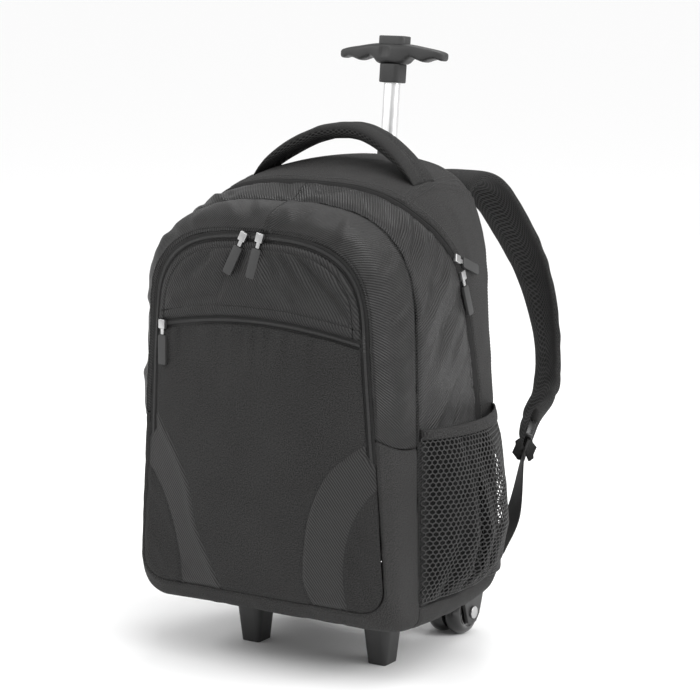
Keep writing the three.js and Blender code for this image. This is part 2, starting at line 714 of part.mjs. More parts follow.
// Zip sliders and their rubber pulls. The slider rides on the coil; the pull hangs from its link.
function addPull(name, point, outward, hang, seat = 2 * seamGap) {
  const up = hang.clone().negate().addScaledVector(outward, outward.dot(hang)).normalize();
  const side = new THREE.Vector3().crossVectors(up, outward);
  const matrix = new THREE.Matrix4().makeBasis(side, up, outward).setPosition(point);
  const linkSeat = seat + (sliderHeight - linkWall) / 2;
  const linkEnd = -sliderLength / 2 - linkLength;
  const body = solidOf(box(
    [-sliderWidth / 2, -sliderLength / 2, seat],
    [sliderWidth / 2, sliderLength / 2, seat + sliderHeight],
  ));
  const link = solidOf(box([-linkWidth / 2, linkEnd, linkSeat], [linkWidth / 2, 0, linkSeat + linkWall]));
  add(`${name}_slider`, geometryOf(body.add(link)).applyMatrix4(matrix), nickel);
  const tab = roundedBlock(pullWidth, pullLength, 2, pullThickness)
    .translate(0, linkEnd - seamGap - pullLength / 2, seat + (sliderHeight - pullThickness) / 2)
    .applyMatrix4(matrix);
  add(`${name}_pull`, mergeVertices(tab), greyRubber);
}
// Way out of the front panel over a pull's length and width
const pullReach = sliderLength / 2 + linkLength + pullLength;
const frontNormal = (x, z) => new THREE.Vector3(
  (frontFace(x + pullWidth / 2, z) - frontFace(x - pullWidth / 2, z)) / pullWidth,
  -1,
  (frontFace(x, z) - frontFace(x, z - pullReach)) / pullReach,
).normalize();
// How far the front panel rises over the plane of a slider's seat, within the slider's footprint
const frontRise = (point, outward) => Math.max(...[-0.5, 0, 0.5].flatMap((a) => [-0.5, 0, 0.5].map((b) => {
  const [x, z] = [point.x + a * sliderWidth, point.z + b * sliderLength];
  return new THREE.Vector3(x, frontFace(x, z), z).sub(point).dot(outward);
})));
function addFrontPull(name, x, z, hang) {
  const point = new THREE.Vector3(x, frontFace(x, z), z);
  const outward = frontNormal(x, z);
  addPull(name, point, outward, hang, 2 * seamGap + frontRise(point, outward));
}
const frontPullPlaces = [
  { name: 'front_zip_a', x: -13, swing: -0.45 },
  { name: 'front_zip_b', x: 6, swing: -0.22 },
];
for (const { name, x, swing } of frontPullPlaces) {
  const z = archHeight(sizesOf(seam, frontZipInset + zipWidth / 2), x);
  addFrontPull(name, x, z, new THREE.Vector3(swing, 0, -1).normalize());
}
// The slip zip's slider is this far in from the front zip on its left, measured along the panel
const slipPullInset = 7.3;
const slipPullX = (() => {
  const rim = sizesOf(seam, frontZipInset + zipWidth);
  let [inner, outer] = [0, rim.shoulder];
  for (let i = 0; i < 30; i++) {
    const x = (inner + outer) / 2;
    if (archHeight(rim, x) > slipZipPlace(2 * x / bodyWidth)) inner = x;
    else outer = x;
  }
  return slipPullInset - inner;
})();
addFrontPull('slip_zip', slipPullX, slipZipPlace(2 * slipPullX / bodyWidth), new THREE.Vector3(0, 0, -1));
const mainPullPlaces = [
  { name: 'main_zip_a', rise: 0.8, hang: [0, 0.92, -0.4] },
  { name: 'main_zip_b', rise: 0.762, hang: [0, 0.2, -0.98] },
];
for (const { name, rise, hang } of mainPullPlaces) {
  const z = bodyBottom + rise * bodyHeight;
  const y = mainZipPlace(z);
  const step = 4;
  const slopeY = (sideFace(y + step, z) - sideFace(y - step, z)) / (2 * step);
  const slopeZ = (sideFace(y, z + step) - sideFace(y, z - step)) / (2 * step);
  addPull(
    name,
    new THREE.Vector3(sideFace(y, z), y, z),
    new THREE.Vector3(1, -slopeY, -slopeZ).normalize(),
    new THREE.Vector3(...hang).normalize(),
    seamGap,
  );
}

// Feet: tapered blocks under the front of the bag
for (const [name, side] of [['foot_right', 1], ['foot_left', -1]]) {
  const x = side * footSpacing / 2;
  const top = bottomFace(footSole.depth / 2) - seamGap;
  const rectangle = (grow, z) => [[-1, -1], [1, -1], [1, 1], [-1, 1]].map(([a, b]) => new THREE.Vector3(
    x + a * (footSole.width / 2 + grow),
    footSole.depth / 2 + b * (footSole.depth / 2 + grow),
    z,
  ));
  add(name, loft([rectangle(0, 0), rectangle(footFlare, top)]), blackPlastic);
}

// Wheel brackets under the rear corners, axles and twin wheels
const twinHalf = treadWidth + treadGap / 2;
const cheekInner = twinHalf + wheelClearance;
const cheekOuter = cheekInner + cheekWall;
const roofBottom = 2 * wheelRadius + bracketRoof;
const bracketFront = axlePlace - bracketAhead;
const bracketRear = axlePlace + bracketBehind;
const roofTop = bottomFace(bracketFront) - seamGap;
// Edge of a cheek seen from the side. along: from the axle towards the back; up: height over the
// floor; both as shares of the wheel radius
const cheekEdge = [
  { along: -0.375, up: 0.58 },
  { along: -0.08, up: 0.46 },
  { along: 0.29, up: 0.54 },
  { along: 0.58, up: 0.83 },
];
const cheekOutline = [
  [axlePlace - 0.92 * wheelRadius, roofBottom + 1],
  ...cheekEdge.map(({ along, up }) => [axlePlace + along * wheelRadius, up * wheelRadius]),
  [bracketRear - 1, roofBottom + 1],
];
const wheelSegments = 18;
const treadSteps = 4;
const treadProfile = (middleX) => Array.from({ length: treadSteps + 1 }, (_, i) => {
  const angle = Math.PI * i / treadSteps;
  return [wheelRadius - treadRound * (1 - Math.sin(angle)), middleX - Math.cos(angle) * treadWidth / 2];
});
const wheelProfile = [
  [axleRadius + seamGap, -twinHalf],
  ...treadProfile(-(treadWidth + treadGap) / 2),
  [wheelRadius - grooveDepth, -treadGap / 2],
  [wheelRadius - grooveDepth, treadGap / 2],
  ...treadProfile((treadWidth + treadGap) / 2),
  [axleRadius + seamGap, twinHalf],
  [axleRadius + seamGap, -twinHalf],
];
for (const [name, side] of [['right', 1], ['left', -1]]) {
  const x = side * wheelSpacing / 2;
  const bore = new THREE.CylinderGeometry(axleRadius + seamGap, axleRadius + seamGap, 4 * twinHalf, 16)
    .rotateZ(Math.PI / 2).translate(x, axlePlace, wheelRadius);
  let bracket = solidOf(box(
    [x - cheekOuter, bracketFront, roofBottom],
    [x + cheekOuter, bracketRear, roofTop],
  ));
  for (const cheek of [-1, 1]) {
    const from = x + cheek * cheekInner;
    const to = x + cheek * cheekOuter;
    bracket = bracket.add(solidOf(alongX(cheekOutline, Math.min(from, to), Math.max(from, to))));
  }
  const plateTop = bandTop + bracketBack;
  const plateFront = placeOf(back, x, plateTop) + backCrown + seamGap;
  const backPlate = alongX([
    [plateFront, roofTop - 1],
    [bracketRear, roofTop - 1],
    [bracketRear, roofTop],
    [plateFront + bracketBack, plateTop],
    [plateFront, plateTop],
  ], x - cheekOuter, x + cheekOuter);
  bracket = bracket.add(solidOf(backPlate)).subtract(solidOf(bore));
  add(`wheel_bracket_${name}`, bracket, blackPlastic);

  const pinLength = 2 * cheekOuter + axleHead.thickness;
  const pin = new THREE.CylinderGeometry(axleRadius, axleRadius, pinLength, 16);
  const head = new THREE.CylinderGeometry(axleHead.radius, axleHead.radius, axleHead.thickness, 16)
    .translate(0, cheekOuter + axleHead.thickness / 2 + seamGap, 0);
  const axle = geometryOf(solidOf(pin).add(solidOf(head))).rotateZ(-side * Math.PI / 2);
  add(`axle_${name}`, axle.translate(x, axlePlace, wheelRadius), nickel);

  const profile = wheelProfile.map(([radius, along]) => new THREE.Vector2(radius, along));
  const wheel = geometryOf(solidOf(new THREE.LatheGeometry(profile, wheelSegments))).rotateZ(Math.PI / 2);
  add(`wheel_${name}`, wheel.translate(x, axlePlace, wheelRadius), tyreRubber);
}

// Telescopic pole in its sleeve, with collar, grip and release button
bag.add(pole);
const collarBottom = sleeveTop + poleShown;
const gripBottom = collarBottom + collarHeight + seamGap;
const grownPole = (by) => ({ width: poleWidth + 2 * by, depth: poleDepth + 2 * by, corner: poleCorner + by });
const slideBore = grownPole(seamGap);
add(
  'pole_sleeve',
  roundedBlock(sleeveWidth, sleeveDepth, sleeveCorner, sleeveTop - sleeveBottom, slideBore)
    .translate(0, 0, sleeveBottom),
  blackPlastic,
  pole,
);
add(
  'pole_tube',
  roundedBlock(poleWidth, poleDepth, poleCorner, poleLength, grownPole(-poleWall))
    .translate(0, 0, gripBottom - seamGap - poleLength),
  aluminium,
  pole,
);
add(
  'grip_collar',
  roundedBlock(collarWidth, collarDepth, poleCorner, collarHeight, slideBore).translate(0, 0, collarBottom),
  blackPlastic,
  pole,
);

// Half of the grip's front outline. x: share of half the span; z: share of the grip height
const gripUnder = [
  { x: 0.26, z: 0 },
  { x: 0.31, z: 0.2 },
  { x: 0.38, z: 0.3 },
  { x: 0.48, z: 0.18 },
  { x: 0.6, z: 0.1 },
  { x: 0.72, z: 0.22 },
  { x: 0.82, z: 0.28 },
  { x: 0.92, z: 0.2 },
  { x: 0.985, z: 0.3 },
  { x: 1, z: 0.48 },
];
const gripOver = [
  { x: 0.975, z: 0.58 },
  { x: 0.88, z: 0.68 },
  { x: 0.6, z: 0.83 },
  { x: 0.3, z: 0.96 },
];
const gripSide = [...gripUnder, ...gripOver].map(({ x, z }) => [x * gripSpan / 2, z * gripHeight]);
const gripOutline = [...gripSide, [0, gripHeight], ...gripSide.map(([x, z]) => [-x, z]).reverse()];
const buttonSeat = buttonShown + 2; // length of the button
const seatFloor = gripHeight - buttonTravel - 2 - seamGap;
const grip = (() => {
  const bevel = 3;
  const shape = new THREE.Shape(gripOutline.map(([x, z]) => new THREE.Vector2(x, z)));
  const body = new THREE.ExtrudeGeometry(shape, {
    depth: gripDepth - 2 * bevel,
    bevelSize: bevel,
    bevelThickness: bevel,
    bevelOffset: -bevel,
    bevelSegments: 2,
  });
  body.applyMatrix4(new THREE.Matrix4().makeBasis(axis.x, axis.z, axis.y.clone().negate()));
  body.translate(0, gripDepth / 2 - bevel, 0);
  const seat = [buttonWidth + 2 * seamGap, buttonDepth + 2 * seamGap, buttonCorner + seamGap];
  return solidOf(body).subtract(solidOf(roundedBlock(...seat, gripHeight).translate(0, 0, seatFloor)));
})();
add('grip', geometryOf(grip).translate(0, 0, gripBottom), blackPlastic, pole);
add(
  'grip_button',
  roundedBlock(buttonWidth, buttonDepth, buttonCorner, buttonSeat)
    .translate(0, 0, gripBottom + gripHeight + buttonShown - buttonSeat),
  greyRubber,
  pole,
);

// The part stands on the floor, centred on its own box
bag.updateMatrixWorld(true);
const bounds = new THREE.Box3().setFromObject(bag);
bag.position.set(-(bounds.min.x + bounds.max.x) / 2, -(bounds.min.y + bounds.max.y) / 2, -bounds.min.z);

export default bag;
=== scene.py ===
# A wheeled backpack on two feet and two twin wheels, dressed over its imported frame.
# Each section works in millimetres in the frame of the part and turns its mesh into metres.
import math

import bmesh
import bpy
import numpy as np
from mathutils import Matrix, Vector


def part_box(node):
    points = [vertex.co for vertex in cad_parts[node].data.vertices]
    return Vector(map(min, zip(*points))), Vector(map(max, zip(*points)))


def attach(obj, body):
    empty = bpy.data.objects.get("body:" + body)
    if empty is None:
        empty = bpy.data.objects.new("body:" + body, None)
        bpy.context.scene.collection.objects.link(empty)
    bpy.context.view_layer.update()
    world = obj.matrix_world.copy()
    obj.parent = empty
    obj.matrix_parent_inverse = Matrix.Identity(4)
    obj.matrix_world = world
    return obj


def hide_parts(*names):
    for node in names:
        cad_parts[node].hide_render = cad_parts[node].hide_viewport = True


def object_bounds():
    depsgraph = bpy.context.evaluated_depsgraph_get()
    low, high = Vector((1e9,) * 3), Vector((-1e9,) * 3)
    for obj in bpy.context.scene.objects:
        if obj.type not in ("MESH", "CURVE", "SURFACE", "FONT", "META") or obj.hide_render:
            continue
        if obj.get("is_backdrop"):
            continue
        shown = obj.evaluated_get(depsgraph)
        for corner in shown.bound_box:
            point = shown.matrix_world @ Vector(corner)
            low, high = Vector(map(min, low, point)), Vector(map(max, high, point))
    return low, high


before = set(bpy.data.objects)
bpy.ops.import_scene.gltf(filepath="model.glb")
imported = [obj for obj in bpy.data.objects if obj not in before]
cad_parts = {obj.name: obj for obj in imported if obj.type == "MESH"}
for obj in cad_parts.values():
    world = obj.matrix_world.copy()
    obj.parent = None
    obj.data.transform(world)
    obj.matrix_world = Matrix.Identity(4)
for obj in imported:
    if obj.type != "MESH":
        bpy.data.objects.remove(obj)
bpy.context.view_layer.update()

# Rear compartment
# A tall soft shell of plain polyester cloth over foam, cut as a gusset that runs round a back
# panel. Its sections are told by rows from the front seam to the back panel's edge.
FRONT_OF_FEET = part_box("foot_left")[0].y * 1000 + 7
BODY_WIDTH = 312.0
BODY_HEIGHT = 436.0
BODY_DEPTH = 235.0
BODY_BOTTOM = 58.0
FRONT_OVERHANG = 92.0
CORNER_RADIUS = 28.0
STATIONS = {
    "at": (0.0, 0.05, 0.2, 0.4, 0.645, 0.81, 0.877),
    "lean": (-0.012, -0.01, 0.0, 0.0, 0.0, 0.06, 0.123),
    "bow": (0.0, 0.0, 0.0, 0.0, 0.0, 0.015, 0.064),
    "base": (0.915, 0.955, 0.975, 1.0, 1.0, 0.99, 0.975),
    "shoulder": (0.82, 0.88, 0.945, 0.96, 0.935, 0.865, 0.81),
    "foot": (0.046, 0.016, 0.0, 0.0, 0.003, 0.01, 0.023),
    "waist": (0.635, 0.635, 0.63, 0.64, 0.658, 0.66, 0.66),
    "top": (0.878, 0.9, 0.931, 0.963, 0.99, 0.998, 0.99),
    "arch": (3.0, 3.0, 3.0, 3.0, 2.9, 2.7, 2.7),
    "corner": (1.0, 0.85, 0.6, 0.6, 0.65, 0.75, 0.9),
}


def curve_through(x, places, values):
    """A cubic through a table of values whose slope at each row is the mean of its two sides."""
    places = np.asarray(places, float)
    values = np.asarray(values, float)
    steps = np.diff(values) / np.diff(places)
    slopes = np.concatenate([steps[:1], (steps[:-1] + steps[1:]) / 2, steps[-1:]])
    slopes[1:-1][steps[:-1] * steps[1:] <= 0] = 0
    x = np.clip(x, places[0], places[-1])
    row = np.clip(np.searchsorted(places, x, side="right") - 1, 0, len(places) - 2)
    span = places[row + 1] - places[row]
    t = (x - places[row]) / span
    return (
        values[row] * (1 + 2 * t) * (1 - t) ** 2
        + values[row + 1] * t * t * (3 - 2 * t)
        + span * slopes[row] * t * (1 - t) ** 2
        - span * slopes[row + 1] * t * t * (1 - t)
    )


def sizes_at(at, inset=0.0):
    """Sizes in millimetres of the section at a share of the body's depth, drawn in by inset."""
    row = {name: curve_through(at, STATIONS["at"], values) for name, values in STATIONS.items()}
    half = BODY_WIDTH / 2
    return {
        **row,
        "base": row["base"] * half - inset,
        "shoulder": row["shoulder"] * half - inset,
        "foot": BODY_BOTTOM + row["foot"] * BODY_HEIGHT + inset,
        "waist": BODY_BOTTOM + row["waist"] * BODY_HEIGHT,
        "top": BODY_BOTTOM + row["top"] * BODY_HEIGHT - inset,
        "corner": np.maximum(row["corner"] * CORNER_RADIUS - inset, 1.0),
    }


def depth_place(s, x, z):
    """Where the cloth of a section lies along Y: its share of the depth, its lean and its bow."""
    rise = (z - BODY_BOTTOM) / BODY_HEIGHT
    across = np.clip(1 - (x / s["shoulder"]) ** 2, 0, 1)
    return (s["at"] + s["lean"] * rise + s["bow"] * rise * across) * BODY_DEPTH - FRONT_OVERHANG


def outline_point(s, way):
    """A point of a section's outline. way is 0 at the top, 1 at the waist, 2 at the lower corner's
    upper end, 3 at its lower end and 4 under the middle, and is negative on the left side. Past 4
    it goes on up the left side."""
    way = (np.asarray(way) + 4) % 8 - 4
    turn = np.abs(way)
    power = 2 / s["arch"]
    angle = np.pi / 2 * np.clip(1 - turn, 0, 1)
    rise = np.sin(angle) ** power
    low = s["foot"] + s["corner"]
    slope = (s["base"] - s["shoulder"]) / (s["waist"] - low)
    arch_x = s["shoulder"] * np.cos(angle) ** power
    arch_x = arch_x - slope * (s["top"] - s["waist"]) * rise * (1 - rise) ** 2
    arch_z = s["waist"] + (s["top"] - s["waist"]) * rise
    share = np.clip(turn - 1, 0, 1)
    side_x = s["shoulder"] + (s["base"] - s["shoulder"]) * share
    side_z = s["waist"] + (low - s["waist"]) * share
    bend = np.pi / 2 * np.clip(turn - 2, 0, 1)
    corner_x = s["base"] - s["corner"] * (1 - np.cos(bend))
    corner_z = low - s["corner"] * np.sin(bend)
    floor_x = (s["base"] - s["corner"]) * np.clip(4 - turn, 0, 1)
    pieces = [turn <= 1, turn <= 2, turn <= 3]
    x = np.select(pieces, [arch_x, side_x, corner_x], floor_x)
    z = np.select(pieces, [arch_z, side_z, corner_z], s["foot"] + 0 * turn)
    return np.sign(way) * x, z


def body_skin(way, at):
    """Points of the bag's side, top and bottom at ways round the outline and shares of the depth."""
    s = sizes_at(at)
    x, z = outline_point(s, way)
    return np.stack([x, depth_place(s, x, z), z], -1)


def even_ways(start, end, count, at):
    """Ways round the outline whose points lie the same distance apart."""
    dense = np.linspace(start, end, 4001)
    line = body_skin(dense, np.full_like(dense, at))
    run = np.concatenate([[0], np.cumsum(np.linalg.norm(np.diff(line, axis=0), axis=1))])
    return np.interp(np.linspace(0, run[-1], count), run, dense), run[-1]


def way_at_height(z, at):
    """The way round the outline at which the side stands at a height."""
    dense = np.linspace(0, 3, 3001)
    heights = body_skin(dense, np.full_like(dense, at))[:, 2]
    return np.interp(-z, -heights, dense)


def normals_of(points):
    """Unit normals of a grid of points: the cross product of its two directions."""
    along = np.gradient(points, axis=0)
    across = np.gradient(points, axis=1)
    normal = np.cross(along, across)
    return normal / np.maximum(np.linalg.norm(normal, axis=-1, keepdims=True), 1e-9)


def soft_noise(u, v, cell, seed):
    """Smooth hills and hollows between -1 and 1: random values on a grid, eased between its knots."""
    knots = np.random.default_rng(seed).uniform(-1, 1, (64, 64))
    a = np.asarray(u) / cell[0] + 17.3
    b = np.asarray(v) / cell[1] + 9.1
    i = np.floor(a).astype(int)
    j = np.floor(b).astype(int)
    p = a - i
    q = b - j
    p = p * p * (3 - 2 * p)
    q = q * q * (3 - 2 * q)
    near = knots[i % 64, j % 64] * (1 - q) + knots[i % 64, (j + 1) % 64] * q
    far = knots[(i + 1) % 64, j % 64] * (1 - q) + knots[(i + 1) % 64, (j + 1) % 64] * q
    return near * (1 - p) + far * p


def sheet_mesh(name, points, u, v, wall=1.2, extras=None, closed=False):
    """A grid of points in millimetres made a smooth sheet with a UV map in metres and a wall on its
    inner side. Rows run along the first axis; the outer face is on the side of their normals."""
    rows, columns = points.shape[:2]
    index = np.arange(rows * columns).reshape(rows, columns)
    quads = np.stack([index[:-1, :-1], index[1:, :-1], index[1:, 1:], index[:-1, 1:]], -1).reshape(-1, 4)
    mesh = bpy.data.meshes.new(name)
    moved = (points + (0, FRONT_OF_FEET, 0)) / 1000
    mesh.from_pydata(moved.reshape(-1, 3), [], quads.tolist())
    flat = np.stack([np.broadcast_to(u, (rows, columns)), np.broadcast_to(v, (rows, columns))], -1) / 1000
    layer = mesh.uv_layers.new(name="Cloth")
    layer.data.foreach_set("uv", flat.reshape(-1, 2)[quads.reshape(-1)].astype(np.float32).ravel())
    for label, values in (extras or {}).items():
        attribute = mesh.attributes.new(label, "FLOAT", "POINT")
        wide = np.broadcast_to(values, (rows, columns)).astype(np.float32)
        attribute.data.foreach_set("value", wide.ravel())
    if closed:
        welded = bmesh.new()
        welded.from_mesh(mesh)
        bmesh.ops.remove_doubles(welded, verts=welded.verts, dist=1e-6)
        welded.to_mesh(mesh)
        welded.free()
    mesh.polygons.foreach_set("use_smooth", np.ones(len(mesh.polygons), bool))
    piece = bpy.data.objects.new(name, mesh)
    bpy.context.scene.collection.objects.link(piece)
    if wall:
        thick = piece.modifiers.new("Wall", "SOLIDIFY")
        thick.thickness = wall / 1000
        thick.offset = -1
    return piece


class Paint:
    """A socket of a material's nodes that takes part in sums as if it were a number."""

    def __init__(self, tree, socket=None):
        self.tree = tree
        self.socket = socket

    def node(self, kind, settings=None, inputs=None):
        """Adds a node of a kind, sets it, gives its sockets their values or links, and returns its
        first output."""
        made = self.tree.nodes.new(kind)
        for name, value in (settings or {}).items():
            setattr(made, name, value)
        for name, value in (inputs or {}).items():
            if isinstance(value, Paint):
                self.tree.links.new(value.socket, made.inputs[name])
            else:
                made.inputs[name].default_value = value
        return Paint(self.tree, made.outputs[0] if made.outputs else None)

    def out(self, name):
        return Paint(self.tree, self.socket.node.outputs[name])

    def maths(self, operation, *values):
        terms = {index: value for index, value in enumerate((self, *values))}
        return self.node("ShaderNodeMath", {"operation": operation}, terms)

    def __add__(self, other):
        return self.maths("ADD", other)

    def __mul__(self, other):
        return self.maths("MULTIPLY", other)

    def __sub__(self, other):
        return self.maths("SUBTRACT", other)

    def __rsub__(self, other):
        return self.node("ShaderNodeMath", {"operation": "SUBTRACT"}, {0: other, 1: self})

    __radd__ = __add__
    __rmul__ = __mul__

    def wave(self, pitch):
        """A sine between 0 and 1 with this pitch."""
        return self.maths("MULTIPLY", 2 * math.pi / pitch).maths("SINE") * 0.5 + 0.5

    def held(self):
        """The value kept between 0 and 1."""
        return self.node("ShaderNodeClamp", None, {"Value": self})

    def mixed(self, first, second):
        """A mix of two colours by this value."""
        made = self.tree.nodes.new("ShaderNodeMix")
        made.data_type = "RGBA"
        self.tree.links.new(self.socket, made.inputs["Factor"])
        for name, value in (("A", first), ("B", second)):
            socket = [s for s in made.inputs if s.name == name and s.type == "RGBA"][0]
            if isinstance(value, Paint):
                self.tree.links.new(value.socket, socket)
            else:
                socket.default_value = value
        return Paint(self.tree, [s for s in made.outputs if s.type == "RGBA"][0])


def new_material(name):
    """An empty material, and a Paint that adds nodes to it."""
    material = bpy.data.materials.new(name)
    material.use_nodes = True
    material.node_tree.nodes.clear()
    return material, Paint(material.node_tree)


def finish_surface(paint, colour, roughness, height=None, strength=0.4, depth=0.001, **fixed):
    """Ends a material: one Principled surface with a colour, a roughness, a bump and fixed values."""
    inputs = {"Base Color": colour, "Roughness": roughness, **fixed}
    if height is not None:
        inputs["Normal"] = paint.node(
            "ShaderNodeBump", None, {"Height": height, "Strength": strength, "Distance": depth}
        )
    surface = paint.node("ShaderNodeBsdfPrincipled", None, inputs)
    paint.node("ShaderNodeOutputMaterial", None, {"Surface": surface})


def cloth_places(paint):
    """Millimetres along and across the cloth, and the same place as a vector, from its UV map."""
    flat = paint.node("ShaderNodeUVMap", {"uv_map": "Cloth"})
    scaled = paint.node("ShaderNodeVectorMath", {"operation": "SCALE"}, {0: flat, "Scale": 1000.0})
    parts = paint.node("ShaderNodeSeparateXYZ", None, {0: scaled})
    return parts.out("X"), parts.out("Y"), scaled


def grey(value, warmth=0.02):
    """A near-neutral colour that leans to warm."""
    return (value * (1 + warmth), value, value * (1 - warmth / 2), 1)


def woven_threads(paint, u, v, place, pitch=1.1):
    """The over-and-under threads of plain weave, and a grain of thicker ones."""
    threads = (u.wave(pitch) * v.wave(pitch)) + (1 - u.wave(pitch)) * (1 - v.wave(pitch))
    settings = {"Vector": place, "Scale": 0.95, "Detail": 1.0, "Roughness": 0.6}
    return threads, paint.node("ShaderNodeTexNoise", None, settings)


def plain_weave(name, shade=0.02, mottle=1.9):
    """Fine plain weave: over-and-under threads, a grain of thicker ones, a soft uneven dye, and painted shade
    where it lies under a side pocket's net.
    """
    material, paint = new_material(name)
    u, v, place = cloth_places(paint)
    threads, grain = woven_threads(paint, u, v, place)
    dye = paint.node("ShaderNodeTexNoise", None, {"Vector": place, "Scale": 0.012, "Detail": 2.0})
    net_shade = paint.node("ShaderNodeAttribute", {"attribute_name": "net_shade"}).out("Fac")
    # Painted shade: the colour darkens where the cloth lies under a side pocket's net.
    light = ((grain - 0.5) * mottle + (dye - 0.5) * 0.25 + threads * 0.12 + 0.36) * (1 - net_shade)
    colour = light.held().mixed(grey(shade * 0.05), grey(shade * 2.9))
    height = threads * 0.5 + grain * 0.9
    finish_surface(
        paint, colour, net_shade * 0.25 + 0.75, height, 0.45, 0.0007,
        **{"Specular IOR Level": 0.2},
    )
    return material


def twill_weave(name, shade=0.01, pitch=2.4, mottle=0.3):
    """Shiny twill: close diagonal ribs of filament thread that catch the light along folds, darkened by
    painted shade where it lies under a side pocket's net.
    """
    material, paint = new_material(name)
    u, v, place = cloth_places(paint)
    slow = paint.node("ShaderNodeTexNoise", None, {"Vector": place, "Scale": 0.03, "Detail": 2.0})
    ribs = (u * 0.82 + v * 0.57 + slow * 1.5).wave(pitch)
    grain = paint.node("ShaderNodeTexNoise", None, {"Vector": place, "Scale": 0.8, "Detail": 1.0})
    net_shade = paint.node("ShaderNodeAttribute", {"attribute_name": "net_shade"}).out("Fac")
    # Painted shade: the colour darkens where the cloth lies under a side pocket's net.
    light = (ribs * 0.8 + (grain - 0.5) * mottle + (slow - 0.5) * 0.3 + 0.15) * (1 - net_shade)
    colour = light.held().mixed(grey(shade * 0.05), grey(shade * 3.0))
    finish_surface(
        paint, colour, net_shade * 0.4 + 0.42, ribs * 0.8 + grain * 0.3, 0.8, 0.0009,
        **{"Specular IOR Level": 0.28},
    )
    return material


CLOTH_PLAIN = plain_weave("Plain weave")
ZIP_LINE = {
    "rise": (-0.2, 0.4, 0.5, 0.6, 0.7, 0.79, 0.87, 0.93, 1.1),
    "back": (0.705, 0.705, 0.695, 0.655, 0.6, 0.545, 0.46, 0.4, 0.39),
}
BAND_TOP = 85.0
MIDDLE_SEAM = 0.2
BACK_EDGE = 0.877
ZIP_HALF = 4.5 / BODY_DEPTH


def zip_place(ways):
    """The main zip's share of the depth beside points round the outline."""
    z = body_skin(ways, np.full_like(ways, 0.55))[:, 2]
    return curve_through((z - BODY_BOTTOM) / BODY_HEIGHT, ZIP_LINE["rise"], ZIP_LINE["back"])


def zip_opening(ways):
    """Half the gap that the main zip closes, as a share of the depth. Under the zip's lower ends the
    two gussets are sewn together."""
    z = body_skin(ways, np.full_like(ways, 0.55))[:, 2]
    return ZIP_HALF * np.clip((z - 206) / 10, 0.04, 1)


def gusset_grid(ways, front, back, columns):
    """A grid between two edges told as shares of the depth, and its flat pattern in millimetres."""
    share = np.linspace(0, 1, columns)
    at = front[:, None] + (back - front)[:, None] * share
    points = body_skin(np.broadcast_to(ways[:, None], at.shape), at)
    run = np.concatenate([[0], np.cumsum(np.linalg.norm(np.diff(points.mean(1), axis=0), axis=1))])
    return points, run[:, None] - run[-1] / 2 + 0 * at, at * BODY_DEPTH


def seam_roll(edges, depth=1.8, reach=3.0):
    """How far cloth turns in towards its seams: a bell that is deepest on each edge."""
    height = 0.0
    for distance in edges:
        height = height - depth * np.exp(-((distance / reach) ** 2))
    return height


def joint_seam(away):
    """A sewn joint in cloth at a distance from its line: a low ridge with a groove along it."""
    return 0.9 * np.exp(-((away / 4) ** 4)) - 1.6 * np.exp(-((away / 0.8) ** 2))


def strands(name, starts, ends, out, radius):
    """Many short threads in one mesh: each a square tube between two points, with its ends closed.
    starts and ends are rows of points in millimetres, and out is each one's way off the surface."""
    along = ends - starts
    along = along / np.linalg.norm(along, axis=1, keepdims=True)
    side = np.cross(along, out)
    side = side / np.linalg.norm(side, axis=1, keepdims=True)
    up = np.cross(side, along)
    turns = np.array([0.25, 0.75, 1.25, 1.75]) * np.pi
    cosine, sine = np.cos(turns)[None, :, None], np.sin(turns)[None, :, None]
    ring = (cosine * side[:, None] + sine * up[:, None]) * radius
    corners = np.concatenate([starts[:, None] + ring, ends[:, None] + ring], 1)
    faces = np.array(
        [[0, 4, 5, 1], [1, 5, 6, 2], [2, 6, 7, 3], [3, 7, 4, 0], [0, 1, 2, 3], [7, 6, 5, 4]]
    )
    quads = (np.arange(len(starts))[:, None, None] * 8 + faces[None]).reshape(-1, 4)
    mesh = bpy.data.meshes.new(name)
    moved = (corners.reshape(-1, 3) + (0, FRONT_OF_FEET, 0)) / 1000
    mesh.from_pydata(moved, [], quads.tolist())
    mesh.polygons.foreach_set("use_smooth", np.ones(len(quads), bool))
    piece = bpy.data.objects.new(name, mesh)
    bpy.context.scene.collection.objects.link(piece)
    return piece


def thread(name, value, roughness=0.6):
    """A plain shiny thread with an uneven colour along it."""
    material, paint = new_material(name)
    place = paint.node("ShaderNodeTexCoord").out("Object")
    grain = paint.node("ShaderNodeTexNoise", None, {"Vector": place, "Scale": 400.0, "Detail": 1.0})
    colour = grain.mixed(grey(value * 0.6), grey(value * 1.5))
    finish_surface(paint, colour, roughness, **{"Specular IOR Level": 0.5})
    return material


def dress(piece, material, slot, *nodes, body="bag"):
    """Gives a piece its material, hangs it on the empty of the body that it rides and hides the CAD nodes
    that it replaces; the slot is not used.
    """
    piece.data.materials.append(material)
    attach(piece, body)
    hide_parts(*nodes)


def sew(name, rows, material, pitch=3.3, length=2.2, radius=0.3):
    """Rows of stitches in one mesh: along each path, dashes of thread of one length at one pitch, as
    its own distance along the path divides. A row is its path's points and their ways outwards."""
    starts, ends, out = [], [], []
    for path, away in rows:
        steps = np.linalg.norm(np.diff(path, axis=0), axis=1)
        run = np.concatenate([[0], np.cumsum(steps)])
        places = np.arange(0, run[-1] - length, pitch)
        for found, at in ((starts, places), (ends, places + length)):
            found.append(np.stack([np.interp(at, run, path[:, i]) for i in range(3)], -1))
        out.append(np.stack([np.interp(places, run, away[:, i]) for i in range(3)], -1))
    piece = strands(name, np.concatenate(starts), np.concatenate(ends), np.concatenate(out), radius)
    piece.data.materials.append(material)
    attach(piece, "bag")


def raised(points, key, lift=0.15):
    """One row or column of a grid of points, lifted off the cloth, and its ways outwards."""
    ways_out = normals_of(points)
    return (points[key] + lift * ways_out[key], ways_out[key])


DARK_THREAD = thread("Dark thread", 0.002)
SEAM_THREAD = thread("Seam thread", 0.04)


